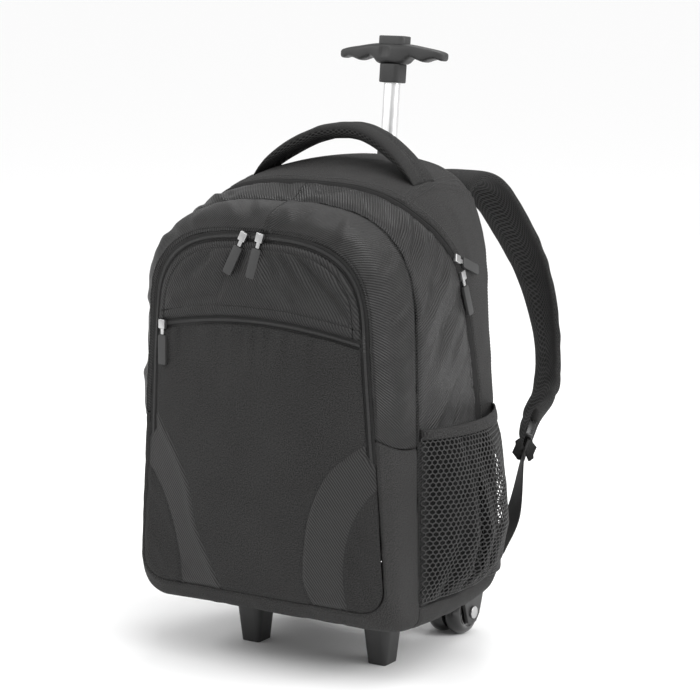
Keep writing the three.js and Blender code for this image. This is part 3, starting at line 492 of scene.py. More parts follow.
def under_net(points):
    """How far cloth lies under a side pocket's net, 0 to 1, which shades it."""
    y, z = points[..., 1], points[..., 2]
    depth = np.clip(np.minimum(y + 40, 108 - y) / 12, 0, 1)
    return depth * np.clip((250 - z) / 10, 0, 1) * (np.abs(points[..., 0]) > 100)


low_way = way_at_height(BAND_TOP, 0.7)
ways, girth = even_ways(-low_way, low_way, 460, 0.7)
zip_at, opening = zip_place(ways), zip_opening(ways)
points, u, v = gusset_grid(ways, zip_at + opening, np.full_like(zip_at, BACK_EDGE), 44)
across = np.linspace(0, 1, 44)[None, :]
width = (BACK_EDGE - zip_at - opening)[:, None] * BODY_DEPTH
height = seam_roll([across * width, (1 - across) * width, girth / 2 - np.abs(u)])
height = height + 2.2 * np.sin(np.pi * across) * (0.7 + 0.3 * soft_noise(u, v, (90, 60), 3))
height = height + 0.5 * soft_noise(u, v, (14, 12), 4)
from_seam = np.abs(points[..., 0]) - 99
on_top = np.clip((points[..., 2] - 420) / 20, 0, 1)
height = height + on_top * (1.6 * np.exp(-((from_seam / 4.5) ** 4)) - 1.2 * np.exp(-((from_seam / 0.8) ** 2)))
points = points + normals_of(points) * height[..., None]
# The extra attribute carries painted shade on the cloth under the side pockets' nets.
rear_gusset = sheet_mesh("Rear_gusset", points, u, v, extras={"net_shade": under_net(points)})
dress(rear_gusset, CLOTH_PLAIN, "plain_cloth", "rear_gusset")
middle = points[:, 20]
cross_rows = []
for place in (-102.0, -96.0, 96.0, 102.0):
    row = np.argmin(np.abs(middle[:, 0] - place) + 1000 * (middle[:, 2] < 380))
    cross_rows.append(raised(points, (row, slice(1, -1))))
edge_rows = [raised(points, (slice(None), 3)), raised(points, (slice(None), -4))]
sew("Rear_gusset_stitches", cross_rows + edge_rows, SEAM_THREAD)

# Middle gusset
# A band of shiny twill that runs over the top between the main zip and the front pocket. It is cut
# full, so it gathers into slanting folds, and it is topstitched along both seams.
TWILL = twill_weave("Twill")
ways, girth = even_ways(-low_way, low_way, 520, 0.35)
zip_at, opening = zip_place(ways), zip_opening(ways)
points, u, v = gusset_grid(ways, np.full_like(zip_at, MIDDLE_SEAM), zip_at - opening, 60)
across = np.linspace(0, 1, 60)[None, :]
width = (zip_at - opening - MIDDLE_SEAM)[:, None] * BODY_DEPTH
height = seam_roll([across * width, (1 - across) * width, girth / 2 - np.abs(u)])
full = np.sin(np.pi * across)
height = height + 3.0 * full * (0.7 + 0.3 * soft_noise(u, v, (70, 60), 8))
folds = soft_noise(u + 0.9 * v, v - 0.2 * u, (15, 60), 9) + 0.6 * soft_noise(u - 1.3 * v, v, (24, 50), 13)
height = height + 3.0 * folds * full ** 0.7 + 0.8 * soft_noise(u + 1.2 * v, v, (7, 24), 10)
across_seam = points[..., 0] - 10.5
at_top = points[..., 2] > 420
height = height + at_top * joint_seam(across_seam)
points = points + normals_of(points) * height[..., None]
# The extra attribute carries painted shade on the cloth under the side pockets' nets.
middle_gusset = sheet_mesh("Middle_gusset", points, u, v, extras={"net_shade": under_net(points)})
dress(middle_gusset, TWILL, "twill_cloth", "middle_gusset")
row = np.argmin(np.abs(points[:, 30, 0] - 7.0) + 1000 * (points[:, 30, 2] < 380))
rows = [raised(points, (slice(None), 1)), raised(points, (row, slice(None)))]
sew("Middle_gusset_seam", rows, DARK_THREAD, radius=0.45)
sew("Middle_gusset_stitches", [raised(points, (slice(None), -5))], SEAM_THREAD)

# Base
# The bottom and a low band round it are one tray of plain weave, coated inside against wear. The
# gussets are sewn to its upper edge, and the feet and wheel brackets are screwed through it.
ways, girth = even_ways(low_way, 8 - low_way, 330, 0.7)
points, u, v = gusset_grid(ways, np.full_like(ways, MIDDLE_SEAM), np.full_like(ways, BACK_EDGE), 66)
across = np.linspace(0, 1, 66)[None, :] * (BACK_EDGE - MIDDLE_SEAM) * BODY_DEPTH
height = seam_roll([across, across[:, ::-1], girth / 2 - np.abs(u)], 1.5, 2.5)
height = height + 0.8 * soft_noise(u, v, (40, 30), 11) + 0.4 * soft_noise(u, v, (11, 11), 12)
points = points + normals_of(points) * height[..., None]
rear_base = sheet_mesh("Rear_base", points, u, v)
dress(rear_base, CLOTH_PLAIN, "plain_cloth", "rear_base")

# Back panel
# Air mesh over foam, sewn round its edge to the rear gusset. Two long pads lie beside a channel
# for the spine, and the pole's sleeve is hidden behind them.
BACK_CROWN = 5.0
BACK_INSET = 3.3


def crown_share(s, x, z):
    """Share of an end's size at which a point of it lies, by the outline's own formula."""
    middle = (s["foot"] + s["top"]) / 2
    reach = np.where(z > middle, (z - middle) / (s["top"] - middle), (middle - z) / (middle - s["foot"]))
    share = (np.abs(x) / s["shoulder"]) ** s["arch"] + np.abs(reach) ** s["arch"]
    return np.clip(share, 0, 1) ** (1 / s["arch"])


def half_width(s, z):
    """Half width of a section at a height: circle, straight side and arch, one above the other."""
    low = s["foot"] + s["corner"]
    slope = (s["base"] - s["shoulder"]) / (s["waist"] - low)
    rise = np.clip((z - s["waist"]) / (s["top"] - s["waist"]), 0, 1)
    arch = s["shoulder"] * (1 - rise ** s["arch"]) ** (1 / s["arch"])
    arch = arch - slope * (s["top"] - s["waist"]) * rise * (1 - rise) ** 2
    side = s["base"] - slope * (z - low)
    drop = np.clip((low - z) / s["corner"], 0, 1)
    corner = s["base"] - s["corner"] * (1 - np.sqrt(1 - drop ** 2))
    return np.select([z > s["waist"], z > low], [arch, side], corner)


def back_face(x, z):
    """The back panel's cloth: the edge's own place with a low crown."""
    s = sizes_at(BACK_EDGE)
    return depth_place(s, x, z) + BACK_CROWN * (1 - crown_share(s, x, z) ** 2)


def round_grid(at, inset, low, rings, steps):
    """A grid that shrinks from an end's outline to its middle, for a panel with one closed edge."""
    ways, _ = even_ways(-4, 4, steps + 1, at)
    s = sizes_at(at, inset)
    x, z = outline_point(s, ways)
    middle = (s["foot"] + s["top"]) / 2
    share = np.linspace(1, low, rings)
    return x[:, None] * share, middle + (z[:, None] - middle) * share, share


x, z, share = round_grid(BACK_EDGE, BACK_INSET, 0.0, 90, 420)
s = sizes_at(BACK_EDGE)
edge = (1 - share)[None, :] * 150
height = seam_roll([edge], 1.5, 3.0)
pads = np.exp(-(((np.abs(x) - 66) / 42) ** 6)) * np.exp(-(((z - 275) / 165) ** 10))
height = height + 4.5 * pads - 1.2 * np.exp(-(((np.abs(x) - 66) / 2.2) ** 2)) * pads
points = np.stack([x, back_face(x, z), z], -1)
points[..., 1] += height
back_panel = sheet_mesh("Back_panel", points, x, z, closed=True)


def air_mesh(name, shade=0.022, cell=4.2):
    """Knitted spacer fabric: rows of round holes set between each other, painted black as the shade in their
    depth.
    """
    material, paint = new_material(name)
    u, v, place = cloth_places(paint)
    a = u.wave(cell) + v.wave(cell * 0.62) - 1
    b = (u + cell / 2).wave(cell) + (v + cell * 0.31).wave(cell * 0.62) - 1
    bars = a.maths("MAXIMUM", b)
    web = (1.05 - bars * 1.5).held()
    grain = paint.node("ShaderNodeTexNoise", None, {"Vector": place, "Scale": 1.2, "Detail": 1.0})
    # Painted shade: the holes between the strands are coloured near black for the shade in their depth.
    colour = (web * (0.75 + grain * 0.5)).held().mixed(grey(shade * 0.12), grey(shade * 2.0))
    finish_surface(
        paint, colour, 0.8, web, 0.8, 0.0012, **{"Specular IOR Level": 0.3, "Sheen Weight": 0.1}
    )
    return material


dress(back_panel, air_mesh("Air mesh"), "air_mesh", "back_panel")

# Front pocket
# A shallow box of cloth on the front: a twill gusset over the arch, plain corner pieces that run on
# as its bottom, and a swelling front panel set in with a zip round the arch.
FRONT_CROWN = 13.0
ZIP_INSET = 4.0
ZIP_WIDTH = 9.0
CORNER_TOP = 240.0


def front_face(x, z):
    """The front panel's cloth: the seam's own place, swelling forwards to its middle."""
    s = sizes_at(0.0)
    return depth_place(s, x, z) - FRONT_CROWN * (1 - crown_share(s, x, z) ** 2)


def rim_grid(ways, back, columns):
    """A gusset from a section forwards to the front seam and over it onto the front face, as far as
    the front zip."""
    at = np.linspace(back, 0.0, columns)
    side = body_skin(np.broadcast_to(ways[:, None], (len(ways), columns)), at[None, :] + 0 * ways[:, None])
    rims = []
    for inset in np.linspace(0, ZIP_INSET, 4)[1:]:
        x, z = outline_point(sizes_at(0.0, inset), ways)
        rims.append(np.stack([x, front_face(x, z), z], -1))
    points = np.concatenate([side, np.stack(rims, 1)], 1)
    run = np.concatenate([[0], np.cumsum(np.linalg.norm(np.diff(points[:, columns // 2], axis=0), axis=1))])
    deep = np.concatenate([[0], np.cumsum(np.linalg.norm(np.diff(points[len(ways) // 2], axis=0), axis=1))])
    return points[:, ::-1], run[:, None] - run[-1] / 2 + 0 * deep, deep[::-1][None, :] + 0 * run[:, None]


corner_way = way_at_height(CORNER_TOP, 0.1)
ways, girth = even_ways(-corner_way, corner_way, 380, 0.1)
points, u, v = rim_grid(ways, MIDDLE_SEAM - 0.002, 26)
full = v.max()
height = seam_roll([v, full - v, girth / 2 - np.abs(u)], 1.6, 2.6)
height = height + 2.4 * np.sin(np.pi * np.clip((full - 5 - v) / (full - 5), 0, 1))
loose = np.sin(np.pi * np.clip(v / full, 0, 1)) ** 0.8
height = height + 2.4 * loose * soft_noise(u + 0.6 * v, v, (22, 60), 21)
height = height + 1.5 * loose * soft_noise(u - 0.5 * v, v, (11, 30), 25)
height = height + 0.35 * soft_noise(u, v, (9, 15), 22)
across_seam = points[..., 0] - 11
at_top = points[..., 2] > 400
height = height + at_top * joint_seam(across_seam)
points = points + normals_of(points) * height[..., None]
front_gusset = sheet_mesh("Front_gusset", points, u, v)
dress(front_gusset, TWILL, "twill_cloth", "front_gusset")
row = np.argmin(np.abs(points[:, 12, 0] - 7.5) + 1000 * (points[:, 12, 2] < 380))
rows = [raised(points, (slice(None), -2)), raised(points, (row, slice(None)))]
sew("Front_gusset_seam", rows, DARK_THREAD, radius=0.45)
sew("Front_gusset_stitches", [raised(points, (slice(None), 3))], DARK_THREAD, radius=0.35)

ways, girth = even_ways(corner_way, 8 - corner_way, 380, 0.1)
points, u, v = rim_grid(ways, MIDDLE_SEAM - 0.002, 26)
full = v.max()
height = seam_roll([v, full - v, girth / 2 - np.abs(u)], 1.4, 2.4)
height = height + 1.2 * soft_noise(u, v, (45, 40), 23) * np.sin(np.pi * v / full)
height = height + 0.4 * soft_noise(u, v, (10, 12), 24)
points = points + normals_of(points) * height[..., None]
front_base = sheet_mesh("Front_base", points, u, v)
dress(front_base, CLOTH_PLAIN, "plain_cloth", "front_base")

# Lower front panel
# One panel of plain weave with a curved twill piece let in at each side. It is held by the slip
# pocket's zip above, which gathers it into short upright folds, and by the seams round it.
SLIP_MIDDLE = 353.0
SLIP_DROP = 26.0
ACCENTS = {
    "right_outer": ((62, 80), (52, 108), (54, 133), (66, 183), (88, 220), (132, 254)),
    "right_inner": ((100, 80), (95, 114), (100, 149), (113, 180), (139, 211), (160, 228)),
    "left_outer": ((-44, 80), (-58, 112), (-71, 141), (-80, 190), (-93, 216), (-126, 262)),
    "left_inner": ((-93, 80), (-96, 114), (-103, 149), (-117, 180), (-139, 205), (-160, 222)),
}


def slip_height(x):
    """Height of the slip pocket's zip: a flat bow that falls towards both sides."""
    return SLIP_MIDDLE - SLIP_DROP * (x / (BODY_WIDTH / 2)) ** 2


def accent_gap(name, x, z):
    """Signed distance to an accent seam, whose x follows from z by a cubic, positive to its right."""
    heights = [row[1] for row in ACCENTS[name]]
    places = [row[0] for row in ACCENTS[name]]
    here = curve_through(z, heights, places)
    slope = (curve_through(z + 1, heights, places) - curve_through(z - 1, heights, places)) / 2
    return (x - here) / np.sqrt(1 + slope ** 2)


def panel_edge(z):
    """Half width of the front panel: inside the zip above the corner pieces, and wider below."""
    step = np.clip((z - CORNER_TOP + 16) / 12, 0, 1)
    step = step * step * (3 - 2 * step)
    narrow = half_width(sizes_at(0.0, ZIP_INSET + ZIP_WIDTH), z)
    wide = half_width(sizes_at(0.0, ZIP_INSET + 0.3), z)
    return narrow * step + wide * (1 - step)


rows, columns = 130, 150
share_x = np.linspace(-1, 1, columns)[None, :]
share_z = np.linspace(0, 1, rows)[:, None]
low = sizes_at(0.0, ZIP_INSET + 0.3)["foot"]
z = low + (SLIP_MIDDLE - ZIP_WIDTH / 2 - low) * share_z + 0 * share_x
for _ in range(4):
    x = share_x * panel_edge(z)
    z = low + (slip_height(x) - ZIP_WIDTH / 2 - low) * share_z
top_gap = slip_height(x) - ZIP_WIDTH / 2 - z
side_gap = panel_edge(z) - np.abs(x)
height = seam_roll([top_gap, side_gap, z - low], 1.6, 2.6)
height = height - 0.9 * np.exp(-((top_gap - 5) ** 2))
gathers = soft_noise(x, z, (7, 90), 31) * np.exp(-top_gap / 26) * np.clip(top_gap / 4, 0, 1)
height = height + 2.6 * gathers + 1.2 * soft_noise(x, z, (60, 70), 32) + 0.25 * soft_noise(x, z, (12, 12), 33)
twill = -np.ones_like(x) * 99
for outer, inner, side in (("right_outer", "right_inner", 1), ("left_outer", "left_inner", -1)):
    beyond = side * accent_gap(outer, x, z)
    before = -side * accent_gap(inner, x, z)
    twill = np.maximum(twill, np.minimum(beyond, before))
    height = height - 1.0 * np.exp(-((beyond / 1.1) ** 2)) - 1.0 * np.exp(-((before / 1.1) ** 2))
    height = height + 0.5 * np.exp(-(((beyond - 4) / 3) ** 2)) + 0.4 * np.exp(-(((before + 4) / 3) ** 2))
    outside = np.clip(-before / 4, 0, 1) * (side * x > 60)
    height = height + 0.9 * soft_noise(x + 0.5 * z, z, (9, 26), 35) * outside
y = front_face(x, z)
points = np.stack([x, y - height, z], -1)
lower_panel = sheet_mesh("Front_panel_lower", points, x, z, extras={"twill": twill})


def panel_cloth(name, shade=0.014, pitch=2.4):
    """Plain weave with twill where the piece's own distance to its accent seams is positive."""
    material, paint = new_material(name)
    u, v, place = cloth_places(paint)
    gap = paint.node("ShaderNodeAttribute", {"attribute_name": "twill"}).out("Fac")
    mask = (gap * 1.5 + 0.5).held()
    threads, grain = woven_threads(paint, u, v, place)
    dye = paint.node("ShaderNodeTexNoise", None, {"Vector": place, "Scale": 0.012, "Detail": 2.0})
    ribs = (u * 0.82 + v * 0.57).wave(pitch)
    plain = (grain - 0.5) * 1.9 + (dye - 0.5) * 0.25 + threads * 0.12 + 0.34
    ribbed = ribs * 0.7 + (grain - 0.5) * 0.3 + 0.15
    light = plain * (1 - mask) + ribbed * mask
    colour = light.held().mixed(grey(shade * 0.05), grey(shade * 3.2))
    height = (threads * 0.5 + grain * 0.9) * (1 - mask) + ribs * mask
    finish_surface(
        paint, colour, 0.75 - mask * 0.3, height, 0.45, 0.0007,
        **{"Specular IOR Level": 0.25},
    )
    return material


dress(lower_panel, panel_cloth("Front panel cloth"), "plain_cloth", "front_panel_lower")
row = np.argmin(np.abs(top_gap[:, 75] - 5))
sew("Lower_panel_stitches", [raised(points, (row, slice(1, -1)))], DARK_THREAD, radius=0.4)

# Upper front panel
# A half moon of twill between the slip pocket's zip and the arch of the front zip, drawn into
# shallow folds that fan out from the zip's sliders.
rows, columns = 56, 150
angle = np.linspace(0, np.pi, columns)[None, :]
s = sizes_at(0.0, ZIP_INSET + ZIP_WIDTH)
power = 2 / s["arch"]
x = -s["shoulder"] * np.sign(np.cos(angle)) * np.abs(np.cos(angle)) ** power
arch = s["waist"] + (s["top"] - s["waist"]) * np.sin(angle) ** power
start = slip_height(x) + ZIP_WIDTH / 2
arch = np.maximum(arch, start + 1)
share = np.linspace(0, 1, rows)[:, None]
z = start + (arch - start) * share
x = x + 0 * z


WELT = 9
HEM = 7


def outline_gap(section, x, z):
    """How far a place lies inside a section's outline: its arch as a value that is 1 on the outline
    and 0 at the middle, times the way that the arch reaches along that line."""
    up = np.clip((z - section["waist"]) / (section["top"] - section["waist"]), 0, 2)
    arch = section["arch"]
    share = (np.abs(x / section["shoulder"]) ** arch + up ** arch) ** (1 / arch)
    reach = np.hypot(x, np.maximum(z - section["waist"], 0))
    return reach / np.maximum(share, 0.05) * (1 - share)


def upper_height(x, z):
    """Folds and seams of the upper panel: a hemmed welt along the zips, gathers that fan out from the
    sliders, and soft hollows."""
    low_gap = z - slip_height(x) - ZIP_WIDTH / 2
    rim_gap = outline_gap(s, x, z)
    height = seam_roll([low_gap, rim_gap], 1.6, 1.8)
    height = height - 1.0 * np.exp(-(((low_gap - WELT) / 0.9) ** 2))
    height = height - 1.0 * np.exp(-(((rim_gap - HEM) / 0.9) ** 2))
    inner = np.clip(np.minimum(low_gap - 8, rim_gap - 6) / 10, 0, 1)
    fan = np.arctan2(x + 5, 470 - z)
    height = height + 3.2 * soft_noise(fan * 60, z, (7, 60), 41) * inner
    height = height + 2.2 * soft_noise(x + 0.5 * z, z, (30, 36), 42) * inner
    return height + 0.4 * soft_noise(x, z, (9, 12), 43)


points = np.stack([x, front_face(x, z) - upper_height(x, z), z], -1)
upper_panel = sheet_mesh("Front_panel_upper", points, x, z)
dress(upper_panel, TWILL, "twill_cloth", "front_panel_upper")
forward = np.array([0.0, -1.0, 0.0])
welt_x = np.linspace(-0.93, 0.93, 200) * s["shoulder"]
welt_z = slip_height(welt_x) + ZIP_WIDTH / 2 + WELT
rim_angle = np.linspace(0.12, np.pi - 0.12, 300)
rim_x = -(s["shoulder"] - HEM) * np.sign(np.cos(rim_angle)) * np.abs(np.cos(rim_angle)) ** power
rim_z = s["waist"] + (s["top"] - HEM - s["waist"]) * np.sin(rim_angle) ** power
above = rim_z > slip_height(rim_x) + 14
rows = []
for row_x, row_z in ((welt_x, welt_z), (rim_x[above], rim_z[above])):
    row_y = front_face(row_x, row_z) - upper_height(row_x, row_z) - 0.15
    rows.append((np.stack([row_x, row_y, row_z], -1), np.tile(forward, (len(row_x), 1))))
sew("Upper_panel_stitches", rows, DARK_THREAD, radius=0.4)

# Front zip
# A coil zip sewn into the arch of the front panel: woven tape on both sides of a nylon coil, with
# its edges under the cloth.


def zip_height(gap):
    """A zip's surface at a distance from its middle: a flat tape with a round coil along it."""
    return 1.3 * np.exp(-((gap / 1.9) ** 4)) - 0.5 * np.exp(-(((np.abs(gap) - 2.6) / 0.6) ** 2))


def zip_cloth(name, shade=0.012):
    """Ribbed tape with a shiny coil along its middle and a row of stitches on either side."""
    material, paint = new_material(name)
    u, _, _ = cloth_places(paint)
    gap = paint.node("ShaderNodeAttribute", {"attribute_name": "zip_gap"}).out("Fac")
    away = gap.maths("ABSOLUTE")
    coil = (2.6 - away * 1.3).held()
    teeth = u.wave(1.35)
    ribs = gap.wave(0.9)
    dashes = ((u.wave(3.2) - 0.25) * 3).held() * (1 - ((away - 3.3).maths("ABSOLUTE") * 2.6)).held()
    light = coil * (teeth * 0.5 + 0.25) + (1 - coil) * (ribs * 0.25 + 0.2) + dashes * 0.35
    colour = light.held().mixed(grey(shade * 0.35), grey(shade * 2.4))
    height = coil * teeth + ribs * 0.25 + dashes * 0.7
    finish_surface(paint, colour, 0.75 - coil * 0.3, height, 0.7, 0.0008, **{"Specular IOR Level": 0.4})
    return material


ZIP_TAPE = zip_cloth("Zip tape")
zip_way = way_at_height(CORNER_TOP - 16, 0.0)
ways, girth = even_ways(-zip_way, zip_way, 420, 0.0)
insets = np.linspace(ZIP_INSET + ZIP_WIDTH, ZIP_INSET, 19)
rings = []
for inset in insets:
    x, z = outline_point(sizes_at(0.0, inset), ways)
    rings.append(np.stack([x, front_face(x, z), z], -1))
points = np.stack(rings, 1)
gap = (insets - ZIP_INSET - ZIP_WIDTH / 2)[None, :] + 0 * ways[:, None]
run = (ways - ways[0])[:, None] * girth / (ways[-1] - ways[0])
points = points + normals_of(points) * (zip_height(gap) - 1.6)[..., None]
front_zip = sheet_mesh("Front_zip", points, run + 0 * gap, gap, extras={"zip_gap": gap})
dress(front_zip, ZIP_TAPE, "tape_cloth", "front_zip")

# Slip pocket zip
# The same zip laid straight across the panel under the half moon. It opens the slip pocket.
x = np.linspace(-1, 1, 240)[:, None] * panel_edge(SLIP_MIDDLE - SLIP_DROP * 0.8)
gap = np.linspace(-ZIP_WIDTH / 2, ZIP_WIDTH / 2, 19)[None, :]
z = slip_height(x) + gap
points = np.stack([x + 0 * z, front_face(x, z), z], -1)
points = points + normals_of(points) * (zip_height(gap) - 1.4)[..., None]
slip_zip = sheet_mesh("Slip_zip", points, x + 0 * gap, gap + 0 * x, extras={"zip_gap": gap + 0 * x})
dress(slip_zip, ZIP_TAPE, "tape_cloth", "slip_zip")

# Main zip
# The rear compartment's zip runs over the top and down both sides. Two narrow lips of cloth meet
# over its coil, so that it reads as a pair of ridges with a dark line of painted shade between them.
end_way = way_at_height(215.0, 0.6)
ways, girth = even_ways(-end_way, end_way, 520, 0.6)
across = np.linspace(-1, 1, 25)
zip_at = zip_place(ways)
points, u, v = gusset_grid(ways, zip_at - ZIP_HALF, zip_at + ZIP_HALF, 25)
gap = across[None, :] * ZIP_WIDTH / 2 + 0 * ways[:, None]
height = 1.9 * np.exp(-(((np.abs(gap) - 1.75) / 1.25) ** 2)) - 1.1 * np.exp(-((gap / 0.55) ** 2)) - 0.9
height = height - 0.9 * np.exp(-(((np.abs(gap) - ZIP_WIDTH / 2) / 0.8) ** 2))
height = height + 0.35 * soft_noise(u, v, (9, 9), 51)
points = points + normals_of(points) * height[..., None]
main_zip = sheet_mesh("Main_zip", points, u, gap, extras={"zip_gap": gap})


def zip_lips(name, shade=0.014):
    """Plain dark cloth in two lips, painted near black where they meet as the shade in the gap, with stitches
    along their outer edges.
    """
    material, paint = new_material(name)
    u, _, place = cloth_places(paint)
    gap = paint.node("ShaderNodeAttribute", {"attribute_name": "zip_gap"}).out("Fac")
    away = gap.maths("ABSOLUTE")
    grain = paint.node("ShaderNodeTexNoise", None, {"Vector": place, "Scale": 0.7, "Detail": 2.0})
    # Painted shade: the colour goes near black where the two lips meet over the coil.
    slit_shade = (1.0 - away * 1.3).held()
    dashes = ((u.wave(3.0) - 0.3) * 3).held() * (1 - ((away - 3.4).maths("ABSOLUTE") * 2.6)).held()
    light = grain * 0.5 + 0.2 - slit_shade * 0.7 + dashes * 0.25
    colour = light.held().mixed(grey(shade * 0.1), grey(shade * 2.0))
    finish_surface(
        paint, colour, 0.82, grain * 0.6 + dashes * 0.6, 0.4, 0.0006, **{"Specular IOR Level": 0.35}
    )
    return material


dress(main_zip, zip_lips("Zip lips"), "tape_cloth", "main_zip")

# Side pockets
# Coarse net in a pocket on either side: a lattice of knitted strands, gathered at the bottom seam
# and sewn to an elastic binding along its open top.
POCKET_FRONT = 0.21
POCKET_BACK = 0.865
POCKET_TOP = 254.0
POCKET_BULGE = 38.0
BINDING_SHARE = 10.0 / 169.0


def side_face(y, z):
    """Half width of the outer cloth at a depth and height: the section's side found by halving."""
    at = np.clip((y + 92) / 235, 0, 1)
    near, far = 0 * at, 0 * at + 1
    for _ in range(24):
        at = (near + far) / 2
        beyond = depth_place(sizes_at(at), 156.0 + 0 * at, z) > y
        far = np.where(beyond, at, far)
        near = np.where(beyond, near, at)
    return half_width(sizes_at(at), z)


def pocket_place(across, rise, out=0.0):
    """The net's surface: the side of the bag, swelling out to the middle of the pocket."""
    y = (POCKET_FRONT + (POCKET_BACK - POCKET_FRONT) * across) * 235 - 92
    z = BAND_TOP + (POCKET_TOP - BAND_TOP) * rise
    swell = np.interp(rise, (0, 0.12, 0.35, 0.6, 0.85, 1), (0.06, 0.6, 1, 1, 0.78, 0.5))
    bulge = POCKET_BULGE * swell * np.sin(np.pi * np.clip(across, 0, 1)) ** 0.75
    return np.stack([side_face(y, z) + 0.9 + bulge + out, y, z], -1)


# Place across, lean, width and depth of each upright fold, the first two as shares of the pocket
NET_FOLDS = ((0.36, -0.14, 0.035, 7.5), (0.52, -0.2, 0.05, 5.5), (0.2, 0.1, 0.04, 3.0))


def net_strands(cells_up=37, cells_across=34):
    """Starts, ends and outward ways of a honeycomb: zigzag rows joined by short upright strands."""
    rows = np.arange(cells_up + 1)[:, None]
    columns = np.arange(2 * cells_across + 1)[None, :]
    across = columns / (2 * cells_across) + 0 * rows
    rise = (rows + 0.18 * (-1.0) ** (rows + columns)) / cells_up * (1 - BINDING_SHARE * 0.8)
    rise = np.clip(rise, 0, 1)
    sag = 0.006 * soft_noise(across * 150, rise * 170, (30, 30), 61)
    wave = soft_noise(across * 150 + 40 * rise, rise * 170, (15, 130), 62) * np.sin(np.pi * across) * 3.2
    fold = 0
    for place, lean, width, depth in NET_FOLDS:
        line = (across - place - lean * (rise - 0.3)) / width
        fold = fold - depth * np.exp(-(line ** 2)) * np.clip(1.15 - rise, 0, 1) * np.clip(rise / 0.06, 0, 1)
    fold = fold * np.clip(np.minimum(across, 1 - across) / 0.15, 0, 1)
    places = pocket_place(np.clip(across + sag, 0, 1), rise, wave + fold)
    normals = normals_of(places)
    starts = [places[:, :-1].reshape(-1, 3)]
    ends = [places[:, 1:].reshape(-1, 3)]
    out = [normals[:, :-1].reshape(-1, 3)]
    joined = (np.arange(cells_up)[:, None] + columns) % 2 == 0
    starts.append(places[:-1][joined])
    ends.append(places[1:][joined])
    out.append(normals[:-1][joined])
    return np.concatenate(starts), np.concatenate(ends), np.concatenate(out)


NET_THREAD = thread("Net thread", 0.026)
starts, ends, out = net_strands()
for side, name in ((1, "right"), (-1, "left")):
    flip = np.array([side, 1, 1])
    net = strands(f"Side_net_{name}", starts * flip, ends * flip, out * flip, 0.72)
    dress(net, NET_THREAD, "net_cloth", f"side_net_{name}")

# Pocket bindings
# Folded elastic tape over the net's raw edge, puckered by its own pull.
across, share = np.meshgrid(np.linspace(0, 1, 150), np.linspace(0, 1, 22), indexing="ij")
around = 2 * np.pi * share
rise = 1 - BINDING_SHARE / 2 - BINDING_SHARE / 2 * np.cos(around) * 1.02
pucker = 0.3 * soft_noise(across * 170, rise * 170, (4, 30), 63)
inner = pocket_place(across, rise, 0.0)
flat = np.clip(np.minimum(across, 1 - across) / 0.03, 0, 1) ** 0.5
thick = 1.4 * np.sign(np.sin(around)) * np.abs(np.sin(around)) ** 0.5 * flat + pucker
points = inner + np.stack([thick + 1.3 * flat - 1.5 * (1 - flat), 0 * thick, 0 * thick], -1)
for side, name in ((1, "right"), (-1, "left")):
    placed = points * np.array([side, 1, 1])
    placed = placed if side == -1 else placed[:, ::-1]
    binding = sheet_mesh(f"Net_binding_{name}", placed, across * 170, share * 22, wall=0, closed=True)
    dress(binding, CLOTH_PLAIN, "tape_cloth", f"net_binding_{name}")

# Grab handle
# A padded band over the top: plain cloth outside with a seam along its middle, air mesh under it,
# and flat sewn tabs at both ends where cross seams hold it down.
GRAB_SPAN = 188.0
GRAB_WIDTH = 40.0


def top_face(x, y):
    """Height of the cloth on top at a place: the arch of the section that passes through it."""
    near, far = 0.0 * (x + y), 0.0 * (x + y) + 1
    for _ in range(24):
        at = (near + far) / 2
        beyond = depth_place(sizes_at(at), x, 494.0 + 0 * at) > y
        far = np.where(beyond, at, far)
        near = np.where(beyond, near, at)
    s = sizes_at(at)
    inside = np.clip(1 - (np.abs(x) / s["shoulder"]) ** s["arch"], 0, 1)
    return s["waist"] + (s["top"] - s["waist"]) * inside ** (1 / s["arch"])


def bent(value, power):
    """A cosine or sine pushed towards a square corner: its size to a power, with its sign."""
    return np.sign(value) * np.abs(value) ** power


def tube_mesh(name, rings, u, v, extras=None):
    """Closed rings of points joined into a skin, its two ends drawn together in their middles."""
    rings = np.concatenate([rings, rings[:, :1]], 1)
    first = np.broadcast_to(rings[:1, :-1].mean(1, keepdims=True), rings[:1].shape)
    last = np.broadcast_to(rings[-1:, :-1].mean(1, keepdims=True), rings[-1:].shape)
    rings = np.concatenate([first, rings, last])
    shape = rings.shape[:2]
    grown = []
    for values in (u, v, *(extras or {}).values()):
        wide = np.broadcast_to(values, (shape[0] - 2, shape[1]))
        grown.append(np.concatenate([wide[:1], wide, wide[-1:]]))
    named = dict(zip(extras or {}, grown[2:]))
    return sheet_mesh(name, rings, grown[0], grown[1], wall=0, extras=named, closed=True)


def padded_cloth(name, shade=0.018, cell=6.4):
    """Plain weave on the outer side of a pad and air mesh on the side that is worn or held, its holes painted
    black as shade.
    """
    material, paint = new_material(name)
    u, v, place = cloth_places(paint)
    mesh_side = (paint.node("ShaderNodeAttribute", {"attribute_name": "worn"}).out("Fac") * 6 + 0.5).held()
    threads, grain = woven_threads(paint, u, v, place)
    a = u.wave(cell) + v.wave(cell * 0.62) - 1
    b = (u + cell / 2).wave(cell) + (v + cell * 0.31).wave(cell * 0.62) - 1
    web = (1.05 - a.maths("MAXIMUM", b) * 1.5).held()
    plain = (grain - 0.5) * 1.5 + threads * 0.12 + 0.3
    # Painted shade: the mesh's holes are coloured near black for the shade in their depth.
    knit = web * 0.9 - 0.1
    light = plain * (1 - mesh_side) + knit * mesh_side
    colour = light.held().mixed(grey(shade * 0.02), grey(shade * 2.6))
    height = (threads * 0.4 + grain * 0.7) * (1 - mesh_side) + web * mesh_side * 3.2
    finish_surface(paint, colour, 0.86, height, 0.5, 0.0008, **{"Specular IOR Level": 0.3})
    return material


